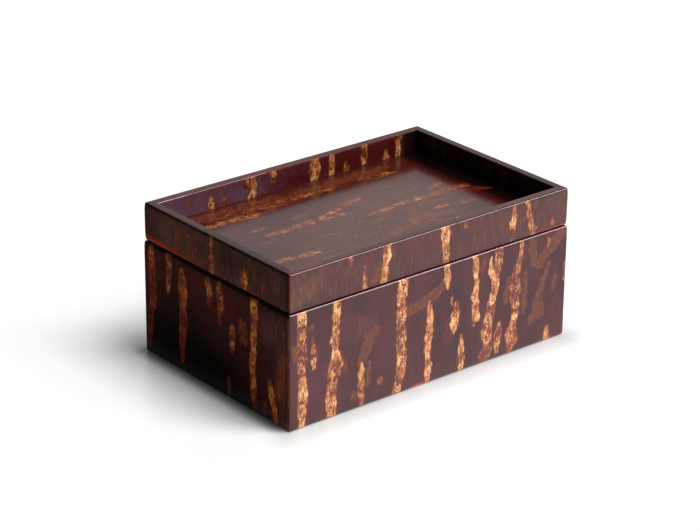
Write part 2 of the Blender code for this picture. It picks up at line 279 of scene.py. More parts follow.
@dataclass(frozen=True)
class BarkFinish:
    """Cherry bark, sanded and polished, with its lenticels, hairlines and stains, and the shade painted on
    it.

    Attributes:
        name: Name of the material.
        grain: The way that the grain runs.
        ground: Colour of the plain bark.
        deep: Colour of the bark's darker places.
        warm: Colour of its redder places.
        hair: Colour of the hairlines.
        stain: Colour of the soft stains.
        core: The darkest colour inside a lenticel.
        tan: The usual colour of a lenticel.
        light: Its lighter places.
        cream: Its palest rings and flecks.
        ember: Colour of the red places, where the bark was thin, and of the reddened painted shade in seams
            and along corners.
        amber: Colour of the brightest of those.
        edge: Colour of the upright arrises, where the bark shows through the polish, darkened to deep red as
            painted shade of the rounded corner.
        shadow: Colour of the places painted in shade, almost black.
        polish: Roughness of the polished surface.
        gloss: Strength of its reflections, where 0.5 is lacquer.
        blur: How soft the edges of the lenticels are.
        show: How clearly the lenticels show.
        fray: How far their ends and edges fray into wisps.
        coat: Weight of a clear coat over the bark.
    """

    name: str
    grain: Grain
    ground: Colour = (0.0880, 0.0150, 0.0145)
    deep: Colour = (0.0520, 0.0085, 0.0085)
    warm: Colour = (0.1250, 0.0100, 0.0180)
    hair: Colour = (0.2300, 0.0950, 0.0420)
    stain: Colour = (0.1900, 0.0500, 0.0180)
    core: Colour = (0.1700, 0.0320, 0.0130)
    tan: Colour = (0.4700, 0.1500, 0.0450)
    light: Colour = (0.8100, 0.2950, 0.0950)
    cream: Colour = (0.9500, 0.6100, 0.2900)
    ember: Colour = (0.4200, 0.0300, 0.0060)
    amber: Colour = (0.7200, 0.1700, 0.0300)
    edge: Colour = (0.2000, 0.0650, 0.0400)
    shadow: Colour = (0.0120, 0.0040, 0.0030)
    polish: float = 0.17
    gloss: float = 0.5
    blur: float = 1.0
    show: float = 1.0
    fray: float = 1.0
    coat: float = 0.0

    def plain(self, bench: Bench, noise: BarkNoise) -> Wire:
        """Colour the bark between the lenticels.

        Args:
            bench: The bench of the material.
            noise: The bark's noises.

        Returns:
            The colour.
        """
        colour = bench.mix(noise.broad.rise(0.36, 0.64), self.ground, self.deep)
        colour = bench.mix(noise.patch.rise(0.55, 0.72) * 0.6, colour, self.warm)
        hairs = bench.attribute("hairs")
        colour = bench.mix((noise.fibre - 0.5) * 0.35 + 0.04 + hairs * 0.3, colour, self.hair)
        colour = bench.mix(noise.fibre.rise(0.46, 0.34) * 0.45, colour, self.deep)
        dashes = noise.fibre.rise(0.50, 0.62) * noise.dash.rise(0.44, 0.58)
        colour = bench.mix(dashes * hairs, colour, self.hair)
        stain = bench.attribute("stain") + (noise.blotch - 0.5) * 0.9 + (noise.wisp - 0.5) * 0.9
        mottle = noise.wisp.rise(0.36, 0.64) * 0.4 + noise.middle.rise(0.3, 0.7) * 0.3 + 0.3
        stained = stain.rise(0.24, 0.64) * mottle
        colour = bench.mix(stained, colour, self.stain)
        colour = bench.mix(stained * stain.rise(0.85, 0.5) * 0.22, colour, self.tan)
        glow = bench.attribute("glow") + (noise.blotch - 0.5) * 0.4
        ember = bench.mix(glow.rise(0.7, 1.1), self.ember, self.amber)
        colour = bench.mix(glow.rise(0.12, 0.9) * 0.95, colour, ember)
        # painted shade: darken the bark towards the shadow colour where the figure paints shade
        return bench.mix(bench.attribute("shade") * 0.85, colour, self.shadow)

    def lenticels(self, bench: Bench, noise: BarkNoise, ragged: Wire) -> Wire:
        """Colour the lenticels, with their eyes, loops and wisps.

        Args:
            bench: The bench of the material.
            noise: The bark's noises.
            ragged: Millimetres inside the lenticel's ragged edge.

        Returns:
            The colour.
        """
        across, along, near = bench.split(bench.attribute("eye", "Vector"))
        away = (across * across + along * along).root()
        away = away + (noise.middle - 0.5) * 1.1 + (noise.speck - 0.5) * 0.3
        pit = away.rise(0.36, 0.18)
        ring = away.rise(0.24, 0.40) * away.rise(0.64, 0.48) + away.rise(0.74, 0.88) * away.rise(1.18, 1.0)
        ring = ring * (noise.wisp.rise(0.38, 0.60) * 0.55 + 0.10)
        trough = away.rise(0.50, 0.62) * away.rise(0.88, 0.76)
        loops = (noise.blotch * 4.5 + noise.section * 2.0 + ragged * 0.2).zigzag(1.0).rise(0.60, 0.95)
        rim = ragged.rise(0.0, 0.3) * ragged.rise(1.1, 0.5)
        tone = bench.attribute("bright") * 0.75 - 0.37
        tone = tone + (noise.section - 0.5) * 1.8 + (noise.wisp - 0.5) * 1.6 + (noise.middle - 0.5) * 1.1
        tone = tone + loops * 0.22 + rim * 0.10 + (ring - trough * 0.20 - pit * 0.7) * near.rise(0.0, 0.25)
        flesh = bench.mix(tone.rise(-0.05, 0.36), self.core, self.tan)
        flesh = bench.mix(tone.rise(0.34, 0.66), flesh, self.light)
        flesh = bench.mix(tone.rise(0.62, 0.98), flesh, self.cream)
        # painted shade also darkens the lenticels towards their core colour
        flesh = bench.mix(bench.attribute("shade") * 0.6, flesh, self.core)
        burnt = bench.mix((tone + (noise.middle - 0.5) * 1.2).rise(-0.35, 0.30), self.deep, self.ember)
        return bench.mix(bench.attribute("red"), flesh, burnt)

    def material(self) -> bpy.types.Material:
        """Build the material."""
        made = bpy.data.materials.new(self.name)
        bench = Bench(made)
        noise = BarkNoise.on(bench, self.grain)
        ragged = bench.attribute("lenticel") - OUTSIDE + (noise.blotch - 0.5) * 2.4
        ragged = ragged + (noise.wisp - 0.5) * (2.2 * self.fray) + (noise.speck - 0.5) * 0.5
        seen = (bench.attribute("bright") * 3.0).least(1.0)
        inside = ragged.rise(-0.28 * self.blur, 0.22 * self.blur) * seen
        fringe = ragged.rise(-1.6, 0.2) * 0.35
        colour = bench.mix(fringe, self.plain(bench, noise), self.stain)
        colour = bench.mix(inside * self.show, colour, self.lenticels(bench, noise, ragged))
        # the upright arrises: bark through the polish, coloured also as the rounded corner's painted shade
        worn = bench.attribute("mitre").rise(0.60, 0.76) * noise.middle.rise(0.26, 0.5)
        relief = ragged.rise(-0.4, 0.6) * 0.4 + (noise.speck - 0.5) * 0.15 + (noise.fibre - 0.5) * 0.1
        bench.polish(relief, 0.12, {
            "Base Color": bench.mix(worn, colour, self.edge),
            "Roughness": self.polish + (noise.middle - 0.5) * 0.05 + inside * 0.05,
            "Specular IOR Level": self.gloss,
            "Coat Weight": bench.attribute("rubbed") + self.coat,
            "Coat Roughness": 0.14,
        })
        return made


@dataclass(frozen=True)
class WoodFinish:
    """Plain sawn or planed wood, whose grain runs along one axis."""

    name: str
    grain: Grain
    pale: Colour
    dark: Colour
    roughness: float

    def material(self) -> bpy.types.Material:
        """Build the material."""
        made = bpy.data.materials.new(self.name)
        bench = Bench(made)
        bands = bench.noise(self.grain.scaled(0.35, 0.12), 3.0)
        pores = bench.noise(self.grain.scaled(3.2, 0.05), 2.0, (7.0, 5.0, 3.0))
        share = (bands * 3.0).zigzag(1.0) * 0.6 + (pores - 0.4)
        bench.polish(pores, 0.3, {
            "Base Color": bench.mix(share.rise(0.0, 1.0), self.pale, self.dark),
            "Roughness": self.roughness + (pores - 0.5) * 0.2,
        })
        return made


@dataclass(frozen=True)
class Streak:
    """One lenticel: a line of points, each with its width.

    Attributes:
        line: (along, up, width) of each point, in millimetres on the face.
        bright: How pale it is, from 0, hardly seen, to 1, cream.
        red: How far its colour goes to deep red.
        eyes: Where its eyes lie on its longer axis, or None where they are drawn by lot.
    """

    line: tuple[Triple, ...]
    bright: float = 0.6
    red: float = 0.0
    eyes: tuple[float, ...] | None = None

    def placed_eyes(self, draw: np.random.Generator) -> list[tuple[float, ...]]:
        """Set the eyes on the line.

        Args:
            draw: The random draw.

        Returns:
            (along, up, half width, half height) of each eye.
        """
        points = np.array(self.line)
        axis = int(np.ptp(points[:, 1]) > np.ptp(points[:, 0]))
        points = points[points[:, axis].argsort()]
        spots = self.eyes
        if spots is None:
            spots = []
            place = points[0, axis] + draw.uniform(1.5, 4.0)
            while place < points[-1, axis] - 1.0:
                spots.append(place)
                place += draw.uniform(4.0, 10.0)
        placed = []
        for spot in spots:
            other = np.interp(spot, points[:, axis], points[:, 1 - axis])
            width = np.interp(spot, points[:, axis], points[:, 2])
            half = width * draw.uniform(0.34, 0.44)
            middle = [spot, other + width * draw.uniform(-0.1, 0.1)]
            halves = [half * draw.uniform(1.0, 1.5), half]
            if axis:
                middle.reverse()
                halves.reverse()
            if half > LEAST_EYE:
                placed.append((*middle, *halves))
        return placed


@dataclass(frozen=True)
class Patch:
    """A soft place in the bark: a stain, a glow, a bunch of hairlines or painted shade, along a line of
    points.
    """

    line: tuple[Triple, ...]
    strength: float = 0.6
    soft: float = 4.0


@dataclass(frozen=True)
class Figure:
    """Everything that is drawn in one sheet of bark, painted shade too."""

    streaks: tuple[Streak, ...] = ()
    stains: tuple[Patch, ...] = ()
    hairs: tuple[Patch, ...] = ()
    glows: tuple[Patch, ...] = ()
    shades: tuple[Patch, ...] = ()
    rubbed: tuple[Patch, ...] = ()

    @staticmethod
    def reach(spots: np.ndarray, line: tuple[Triple, ...]) -> np.ndarray:
        """Measure how far inside a line of changing width each spot lies.

        Args:
            spots: (along, up) of each spot, in millimetres.
            line: (along, up, width) of each point of the line.

        Returns:
            Millimetres inside the line's edge, and negative outside it.
        """
        best = np.full(len(spots), -99.0)
        points = line if len(line) > 1 else line * 2
        for (x0, y0, w0), (x1, y1, w1) in zip(points, points[1:]):
            step = np.array((x1 - x0, y1 - y0), float)
            length = max(float(step @ step), 1e-9)
            share = np.clip(((spots - (x0, y0)) @ step) / length, 0.0, 1.0)
            nearest = np.array((x0, y0)) + share[:, None] * step
            away = np.hypot(*(spots - nearest).T)
            best = np.maximum(best, (w0 + (w1 - w0) * share) / 2 - away)
        return best

    def eyes(self) -> np.ndarray:
        """Place every eye, small enough that no two of them touch.

        Returns:
            (along, up, half width, half height) of each eye, one row for each.
        """
        draw = np.random.default_rng(EYE_SEED)
        found = [eye for streak in self.streaks for eye in streak.placed_eyes(draw)]
        eyes = np.array(found).reshape(-1, 4)
        shrink = np.ones(len(eyes))
        for index, eye in enumerate(eyes):
            apart = np.abs(eyes[:, :2] - eye[:2])
            halos = EYE_HALO * (eyes[:, 2:].max(axis=1) + eye[2:].max())
            room = (np.hypot(*apart.T) - EYE_GAP) / halos
            room[index] = 1.0
            shrink[index] = np.clip(room.min(), LEAST_SHRINK, 1.0)
        eyes[:, 2:] *= shrink[:, None]
        return eyes

    def drawn_eyes(self, spots: np.ndarray) -> np.ndarray:
        """Work out where each spot lies in the eye nearest to it.

        Args:
            spots: (along, up) of each spot, in millimetres.

        Returns:
            For each spot, its way from the eye's middle in half widths and half heights, and how
            near it is: above 0 in and round the eye, and below 0 away from it.
        """
        best = np.tile((9.0, 9.0, -1.0), (len(spots), 1))
        for along, up, half_width, half_height in self.eyes():
            way = (spots - (along, up)) / (half_width, half_height)
            near = np.maximum(EYE_REACH - np.hypot(*way.T), -1.0)
            nearer = near > best[:, 2]
            best[nearer] = np.column_stack((way, near))[nearer]
        return best

    def drawn(self, spots: np.ndarray) -> dict[str, np.ndarray]:
        """Work out what each spot of the sheet shows.

        Args:
            spots: (along, up) of each spot, in millimetres.

        Returns:
            The values that the bark's material reads, by name.
        """
        lenticel = np.full(len(spots), -OUTSIDE)
        shown = {"bright": np.zeros(len(spots)), "red": np.zeros(len(spots))}
        for streak in self.streaks:
            inside = self.reach(spots, streak.line)
            for name in shown:
                shown[name] = np.where(inside > lenticel, getattr(streak, name), shown[name])
            lenticel = np.maximum(lenticel, inside)
        # the shade value is painted shade
        softened = {"stain": self.stains, "hairs": self.hairs, "glow": self.glows, "shade": self.shades,
                    "rubbed": self.rubbed}
        for name, patches in softened.items():
            shown[name] = np.zeros(len(spots))
            for patch in patches:
                inside = self.reach(spots, patch.line)
                share = patch.strength * np.clip(inside / patch.soft + EDGE_SHARE, 0.0, 1.0)
                shown[name] = np.maximum(shown[name], share)
        return {"lenticel": lenticel + OUTSIDE, **shown}


class Side(Enum):
    """One of the four sides. The front one is turned by quarter turns to each."""

    FRONT = 0
    RIGHT = 1
    BACK = 2
    LEFT = 3

    @property
    def word(self) -> str:
        """The side's name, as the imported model's nodes use it."""
        return self.name.lower()

    @property
    def turn(self) -> Matrix:
        """The turn about the upright axis that takes the front to this side."""
        return Matrix.Rotation(math.pi / 2 * self.value, 3, "Z")

    @property
    def way(self) -> str:
        """Whether the side runs along the box or across it, as the finishes are named."""
        return "cross" if self.value % 2 else "long"


@dataclass(frozen=True)
class Arris:
    """A rounded edge between an upright face and a level one.

    Attributes:
        level: Height of the level face.
        rise: 1 where the upright face stands above the level one, -1 where it hangs below.
        radius: Rounding of the skin.
        lean: How far the upright face has leaned in where the rounding starts.
        lean_height: Height over which the upright face leans.
        inset: How far inside the box's skin the upright face stands.
    """

    level: float
    rise: int
    radius: float
    lean: float = 0.0
    lean_height: float = 0.0
    inset: float = 0.0

    def upright(self) -> list[Point]:
        """(depth, height) from the middle of the rounding to where the face stands plumb."""
        points = []
        for step in range(ARC_STEPS + 1):
            angle = math.pi / 4 * (1 - step / ARC_STEPS)
            depth = self.inset + self.lean + self.radius * (1 - math.cos(angle))
            points.append((depth, self.level + self.rise * self.radius * (1 - math.sin(angle))))
        if self.lean:
            for step in range(1, 2 * ARC_STEPS + 1):
                climbed = step / (2 * ARC_STEPS)
                height = self.radius + (self.lean_height - self.radius) * climbed
                points.append((self.inset + self.lean * (1 - climbed) ** 2, self.level + self.rise * height))
        return points

    def flat(self) -> list[Point]:
        """(depth, height) from the middle of the rounding to where the face lies level."""
        points = []
        for step in range(ARC_STEPS + 1):
            angle = math.pi / 4 * (1 - step / ARC_STEPS)
            depth = self.inset + self.lean + self.radius * (1 - math.sin(angle))
            points.append((depth, self.level + self.rise * self.radius * (1 - math.cos(angle))))
        return points


@dataclass(frozen=True)
class Plan:
    """Sizes that the whole box shares, in metres.

    Attributes:
        length: Length of the box.
        width: Its depth, from front to back.
        bark: Thickness of the bark.
        corner: Rounding of the upright corners.
        wall: How far inside the skin a wall board ends.
        rim: Width of the lid's rim.
        inside: How far inside the skin the lining ends.
        least_bend: Least rounding of a line inside a corner.
        hairline_gap: Half of the gap at a mitre.
        spacing: Largest distance between two points of a sheet that shows.
        coarse_spacing: The same on a sheet that is mostly hidden.
    """

    length: float = 0.2000
    width: float = 0.1300
    bark: float = 0.0006
    corner: float = 0.0012
    wall: float = 0.0055
    rim: float = 0.0064
    inside: float = 0.0083
    least_bend: float = 0.00015
    hairline_gap: float = 0.00002
    spacing: float = 0.0008
    coarse_spacing: float = 0.0012

    def run(self, side: Side) -> float:
        """Length of a side."""
        return self.width if side.value % 2 else self.length

    def span(self, side: Side) -> float:
        """Distance from a side to the one opposite."""
        return self.length if side.value % 2 else self.width


PLAN = Plan()


def filled(points: list[Point]) -> np.ndarray:
    """Add points on the long straight parts of a profile.

    Args:
        points: (depth, height) of each corner.

    Returns:
        The points, no further apart than the plan's spacing.
    """
    out = [points[0]]
    for start, stop in zip(points, points[1:]):
        count = max(1, math.ceil(math.dist(start, stop) / PLAN.spacing))
        for step in range(1, count + 1):
            out.append(tuple(a + (b - a) * step / count for a, b in zip(start, stop)))
    return np.array(out)


def meshed(name: str, bm: bmesh.types.BMesh) -> bpy.types.Mesh:
    """Turn a finished bmesh into a mesh of this name."""
    mesh = bpy.data.meshes.new(name)
    bm.to_mesh(mesh)
    bm.free()
    return mesh


def sheet_mesh(name: str, grid: np.ndarray) -> bpy.types.Mesh:
    """Bend a flat grid to its places and give it the bark's thickness.

    Args:
        name: Name of the mesh.
        grid: Place of each point, by row and column. Seen from the face that shows, the
            columns run to the right and the rows run up.

    Returns:
        The closed mesh, with its faces pointing out.
    """
    rows, columns = grid.shape[:2]
    bm = bmesh.new()
    bmesh.ops.create_grid(bm, x_segments=columns - 1, y_segments=rows - 1, size=0.5)
    for vertex in bm.verts:
        column = round((vertex.co.x + 0.5) * (columns - 1))
        row = round((vertex.co.y + 0.5) * (rows - 1))
        vertex.co = grid[row, column]
    bmesh.ops.remove_doubles(bm, verts=bm.verts[:], dist=SHEET_WELD)
    bmesh.ops.solidify(bm, geom=bm.faces[:], thickness=PLAN.bark)
    bmesh.ops.recalc_face_normals(bm, faces=bm.faces[:])
    mesh = meshed(name, bm)
    mesh.shade_smooth()
    mesh.set_sharp_from_angle(angle=SHARP_ANGLE)
    return mesh


def side_grid(side: Side, profile: np.ndarray, wave: float = 0.0, inset: float = 0.0) -> np.ndarray:
    """Run a profile along one side, mitred at both ends and bent round the corners.

    Args:
        side: The side.
        profile: (depth, height) of each row.
        wave: How deep the polished face undulates, inwards.
        inset: How far inside the box's skin the piece's upright face stands.

    Returns:
        The place of each point, by row and column.
    """
    run = PLAN.run(side)
    span = PLAN.span(side)
    count = math.ceil(run / PLAN.spacing)
    rows = []
    for depth, height in profile:
        centre = max(PLAN.corner + inset, depth + PLAN.least_bend)
        bend = centre - depth
        arc = []
        for step in range(ARC_STEPS):
            angle = math.pi / 4 * (1 - step / ARC_STEPS)
            arc.append((centre - bend * math.sin(angle), centre - bend * math.cos(angle)))
        arc[0] = (arc[0][0] + PLAN.hairline_gap, arc[0][1])
        straight = [(centre + (run - 2 * centre) * step / count, depth) for step in range(count + 1)]
        ends = [(run - along, inward) for along, inward in reversed(arc)]
        points = np.array(arc + straight + ends)
        level = np.full(len(points), height)
        rows.append(np.column_stack((points[:, 0] - run / 2, points[:, 1] - span / 2, level)))
    grid = np.array(rows)
    if wave:
        along = grid[:, :, 0] / MM
        up = grid[:, :, 2] / MM
        swell = 0.5 + 0.25 * np.sin(along / 9.0 + up / 17.0 + side.value)
        swell = swell + 0.25 * np.sin(along / 5.3 - up / 23.0)
        fade = np.clip((run / 2 / MM - np.abs(along) - 3.0) / 8.0, 0.0, 1.0)
        heights = profile[:, 1] / MM
        near = np.minimum(heights - heights.min(), heights.max() - heights)
        fade = fade * np.clip((near - 2.5) / 5.0, 0.0, 1.0)[:, None]
        grid[:, :, 1] += wave * swell * fade
    return grid @ np.array(side.turn).T


def plate_grid(depth: float, height: float, spacing: float, facing_up: bool = True) -> np.ndarray:
    """A flat grid that fills the box's plan.

    Args:
        depth: How far inside the skin it ends.
        height: Height of the face that shows.
        spacing: Largest distance between two points.
        facing_up: Whether the face that shows looks up.

    Returns:
        The place of each point, by row and column.
    """
    half_x = PLAN.length / 2 - depth
    half_y = PLAN.width / 2 - depth
    xs = np.linspace(-half_x, half_x, math.ceil(2 * half_x / spacing) + 1)
    ys = np.linspace(-half_y, half_y, math.ceil(2 * half_y / spacing) + 1)
    x, y = np.meshgrid(xs if facing_up else xs[::-1], ys)
    return np.dstack((x, y, np.full(x.shape, height)))


def shown_object(name: str, data: bpy.types.ID) -> bpy.types.Object:
    """Add an object to the scene."""
    made = bpy.data.objects.new(name, data)
    bpy.context.scene.collection.objects.link(made)
    return made


def stand_in(node: str, ending: str, slot: str, mesh: bpy.types.Mesh,
             finish: bpy.types.Material) -> bpy.types.Object:
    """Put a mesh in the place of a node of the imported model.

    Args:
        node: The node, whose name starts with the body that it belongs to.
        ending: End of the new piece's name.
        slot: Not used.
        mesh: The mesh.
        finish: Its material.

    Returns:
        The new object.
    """
    mesh.materials.clear()
    mesh.materials.append(finish)
    made = shown_object(f"{node}_{ending}", mesh)
    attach(made, "lid" if node.startswith("lid") else "box")
    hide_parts(node)
    LOG.info("%s: %d vertices", made.name, len(mesh.vertices))
    return made


def redress(node: str, finish: bpy.types.Material) -> None:
    """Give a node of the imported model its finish."""
    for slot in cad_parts[node].material_slots:
        slot.material = finish


def recut(node: str, finish: bpy.types.Material, edge: float) -> None:
    """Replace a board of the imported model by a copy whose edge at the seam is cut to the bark's.

    Args:
        node: The board.
        finish: Its material.
        edge: Height beyond which its corners belong to the seam, above it on the box and below on the lid.
    """
    on_lid = node.startswith("lid")
    bm = bmesh.new()
    bm.from_mesh(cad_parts[node].data)
    bmesh.ops.remove_doubles(bm, verts=bm.verts[:], dist=BOARD_WELD)
    moved = [vert for vert in bm.verts if (vert.co.z > edge) != on_lid]
    bmesh.ops.translate(bm, verts=moved, vec=(0.0, 0.0, -SEAM_DROP))
    if on_lid:
        for axis, half in enumerate((PLAN.length / 2, PLAN.width / 2)):
            for vert in bm.verts:
                if abs(vert.co[axis]) > half - RAIL_SKIN:
                    vert.co[axis] -= math.copysign(RAIL_INSET, vert.co[axis])
    stand_in(node, "cut", "core_wood", meshed(node + "_cut", bm), finish)


class Cut(Enum):
    """What a piece of bark is cut as: the end of its name and its material slot."""

    SHEET = ("sheet", "polished_bark")
    STRIP = ("strip", "edge_bark")
    FLOOR = ("sheet", "tray_bark")


@dataclass(frozen=True)
class Piece:
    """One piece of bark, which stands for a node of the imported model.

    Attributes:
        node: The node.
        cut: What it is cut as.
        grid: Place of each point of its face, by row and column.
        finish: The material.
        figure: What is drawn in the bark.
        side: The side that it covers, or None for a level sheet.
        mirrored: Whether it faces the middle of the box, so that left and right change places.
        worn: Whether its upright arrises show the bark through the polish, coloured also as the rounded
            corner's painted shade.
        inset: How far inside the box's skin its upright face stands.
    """

    node: str
    cut: Cut
    grid: np.ndarray
    finish: bpy.types.Material
    figure: Figure = Figure()
    side: Side | None = None
    mirrored: bool = False
    worn: bool = False
    inset: float = 0.0

    def spots(self, mesh: bpy.types.Mesh) -> tuple[np.ndarray, np.ndarray]:
        """Find where each vertex lies on the face.

        Args:
            mesh: The piece's mesh.

        Returns:
            (along, up) of each vertex in millimetres, and a number that goes from 0 to 1 over the
            last millimetre to the mitre.
        """
        places = np.zeros(len(mesh.vertices) * 3)
        mesh.vertices.foreach_get("co", places)
        places = places.reshape(-1, 3)
        if self.side is None:
            return places[:, :2] / MM, np.zeros(len(places))
        flat = places @ np.array(self.side.turn)
        setback = PLAN.corner * (1 - math.sqrt(0.5))
        end = (PLAN.run(self.side) / 2 - self.inset - setback - np.abs(flat[:, 0])) / MM
        along = -flat[:, 0] if self.mirrored else flat[:, 0]
        return np.column_stack((along, flat[:, 2])) / MM, np.clip(1.0 - end, 0.0, 1.0) * self.worn

    def dress(self) -> bpy.types.Object:
        """Cut the piece, draw its figure, and put it in its node's place."""
        mesh = sheet_mesh(self.node, self.grid)
        spots, mitre = self.spots(mesh)
        for name, numbers in {**self.figure.drawn(spots), "mitre": mitre}.items():
            layer = mesh.attributes.new(name, "FLOAT", "POINT")
            layer.data.foreach_set("value", numbers.astype(np.float32))
        layer = mesh.attributes.new("eye", "FLOAT_VECTOR", "POINT")
        layer.data.foreach_set("vector", self.figure.drawn_eyes(spots).astype(np.float32).ravel())
        return stand_in(self.node, *self.cut.value, mesh, self.finish)


def grown(seed: int, low: Point, high: Point, count: int, lengthwise: bool = False) -> Figure:
    """Grow a figure of the same kind for a sheet that the photograph doesn't show.

    Args:
        seed: Start of the random draw.
        low: Lowest along and up, in millimetres.
        high: Highest along and up, in millimetres.
        count: Number of lenticels.
        lengthwise: Whether the lenticels run along the sheet and not up it.

    Returns:
        The figure.
    """
    draw = np.random.default_rng(seed)
    across, up = (1, 0) if lengthwise else (0, 1)
    room = high[up] - low[up]
    streaks = []
    stains = []
    for index in range(count):
        place = low[across] + (high[across] - low[across]) * (index + draw.uniform(0.15, 0.85)) / count
        extent = room * draw.choice((0.2, 0.35, 0.6, 1.1)) if not lengthwise else draw.uniform(12.0, 60.0)
        start = draw.uniform(low[up] - 2.0, max(high[up] - extent * 0.8, low[up]))
        size = draw.uniform(2.2, 6.5)
        bright = draw.uniform(0.45, 1.0)
        steps = max(2, round(extent / 7.0))
        line = []
        for step in range(steps + 1):
            taper = 0.35 if step in (0, steps) else 1.0
            point = [place + draw.uniform(-0.8, 0.8), start + extent * step / steps]
            if lengthwise:
                point.reverse()
            line.append((*point, size * taper * draw.uniform(0.7, 1.15)))
        streaks.append(Streak(tuple(line), bright, draw.uniform(0.0, 0.3)))
        if index % 2:
            halfway = line[len(line) // 2]
            beside = (halfway[0] + draw.uniform(-9, 9), halfway[1] + draw.uniform(-9, 9), 5.0)
            stains.append(Patch((halfway, beside), 0.7))
    middle = ((low[0] + high[0]) / 2, (low[1] + high[1]) / 2, min(high[0] - low[0], room) * 0.5)
    return Figure(tuple(streaks), tuple(stains), (Patch((middle,), 0.5),))


def loop(along: float, up: float, width: float, height: float, bright: float, thick: float = 1.1) -> Streak:
    """A ring-shaped lenticel, drawn as a closed line of one thickness.

    Args:
        along: Middle of the ring, along the face in millimetres.
        up: Middle of the ring, up the face in millimetres.
        width: Its outside width.
        height: Its outside height.
        bright: How pale it is.
        thick: Thickness of its line.

    Returns:
        The ring.
    """
    half_width = (width - thick) / 2
    half_height = (height - thick) / 2
    turns = [math.tau * step / 12 for step in range(13)]
    line = [(along + half_width * math.sin(turn), up + half_height * math.cos(turn), thick) for turn in turns]
    return Streak(tuple(line), bright)


@dataclass(frozen=True)
class Finishes:
    """The materials, each made once."""

    by_name: dict[str, bpy.types.Material]

    @classmethod
    def made(cls) -> "Finishes":
        """Build every material."""
        # Shaded copies of the polished bark for the two left sides, which face away from the lamps: darker
        # and redder as painted shade, the lid's one less dark than the box's.
        left = BarkFinish(
            "left_bark", Grain.UPRIGHT, blur=1.8,
            ground=(0.052, 0.0060, 0.0045), deep=(0.032, 0.0035, 0.0030), warm=(0.080, 0.0050, 0.0060),
            hair=(0.145, 0.0620, 0.0440), stain=(0.160, 0.0360, 0.0110), core=(0.100, 0.0160, 0.0050),
            tan=(0.270, 0.0580, 0.0080), light=(0.440, 0.1200, 0.0140), cream=(0.620, 0.2500, 0.0380),
            ember=(0.250, 0.0120, 0.0022), amber=(0.300, 0.0700, 0.0120), shadow=(0.004, 0.0025, 0.0020))
        shaded_left_lid = replace(
            left, name="left_lid_bark",
            ground=(0.080, 0.0250, 0.0180), deep=(0.034, 0.0100, 0.0070), hair=(0.180, 0.0760, 0.0380))
        cross_strip = BarkFinish(
            "edge_bark_cross", Grain.CROSSWISE, gloss=0.24,
            ground=(0.036, 0.0120, 0.0110), deep=(0.022, 0.0080, 0.0075))
        dull_strip = BarkFinish(
            "edge_bark_dull", Grain.LENGTHWISE, gloss=0.36, polish=0.42,
            ground=(0.105, 0.0350, 0.0300), deep=(0.075, 0.0280, 0.0240))
        tray = BarkFinish(
            "tray_bark", Grain.LENGTHWISE, blur=2.4, show=0.95, fray=1.5, coat=0.12,
            ground=(0.058, 0.0050, 0.0040), deep=(0.044, 0.0034, 0.0028), warm=(0.095, 0.0060, 0.0060),
            hair=(0.190, 0.0700, 0.0300), stain=(0.150, 0.0380, 0.0120), core=(0.110, 0.0120, 0.0040),
            tan=(0.245, 0.0680, 0.0140), light=(0.360, 0.1320, 0.0400), cream=(0.500, 0.2650, 0.1250),
            ember=(0.120, 0.0080, 0.0020), shadow=(0.002, 0.0015, 0.0015))
        # the back wall inside the tray: its pale plum ground is a painted sheen, and it barely reflects by
        # itself
        tray_wall_painted_sheen = BarkFinish(
            "tray_wall_bark", Grain.UPRIGHT, gloss=0.03, polish=0.34, blur=1.6, fray=1.4,
            ground=(0.145, 0.0680, 0.0950), deep=(0.110, 0.0400, 0.0500), hair=(0.120, 0.0300, 0.0180),
            core=(0.105, 0.0070, 0.0035), tan=(0.360, 0.1200, 0.0270), light=(0.620, 0.2350, 0.0850),
            cream=(0.760, 0.4900, 0.2400), ember=(0.076, 0.0040, 0.0016), amber=(0.076, 0.0040, 0.0016))
        # the right wall inside the tray, in shade: painted shade, an almost black copy of the bark
        tray_shade = BarkFinish(
            "tray_shade_bark", Grain.UPRIGHT, show=0.2, gloss=0.2,
            ground=(0.006, 0.0025, 0.0024), deep=(0.004, 0.0018, 0.0018), hair=(0.020, 0.0080, 0.0040),
            stain=(0.030, 0.0080, 0.0040), core=(0.030, 0.0060, 0.0030), tan=(0.120, 0.0300, 0.0100),
            light=(0.200, 0.0700, 0.0200), cream=(0.300, 0.1500, 0.0600))
        pine = WoodFinish("core_wood_long", Grain.LENGTHWISE, (0.50, 0.33, 0.18), (0.36, 0.21, 0.10), 0.65)
        stained = WoodFinish("lining_wood_long", Grain.LENGTHWISE, (0.200, 0.090, 0.045),
                             (0.110, 0.045, 0.022), 0.42)
        finishes = (
            BarkFinish("polished_bark", Grain.UPRIGHT), left, shaded_left_lid,
            BarkFinish("edge_bark_long", Grain.LENGTHWISE), cross_strip, dull_strip,
            tray, tray_wall_painted_sheen, tray_shade,
            pine, replace(pine, name="core_wood_cross", grain=Grain.CROSSWISE),
            stained, replace(stained, name="lining_wood_cross", grain=Grain.CROSSWISE),
        )
        return cls({finish.name: finish.material() for finish in finishes})

    def strip(self, side: Side) -> bpy.types.Material:
        """The bark of a narrow strip along a side."""
        return self.by_name["edge_bark_dull" if side is Side.BACK else f"edge_bark_{side.way}"]

    def outer(self, side: Side, left: str) -> bpy.types.Material:
        """The bark outside, given the name of the shaded copy on the left side."""
        return self.by_name[left if side is Side.LEFT else "polished_bark"]

    def tray_side(self, side: Side) -> bpy.types.Material:
        """The bark inside the tray, on one of its walls: the back wall's carries a painted sheen, the right
        wall's painted shade.
        """
        inside = {Side.BACK: "tray_wall_bark", Side.RIGHT: "tray_shade_bark"}
        return self.by_name[inside.get(side, "polished_bark")]

    def board(self, side: Side, wood: str) -> bpy.types.Material:
        """The wood of a board along a side, given the wood's name."""
        return self.by_name[f"{wood}_{side.way}"]


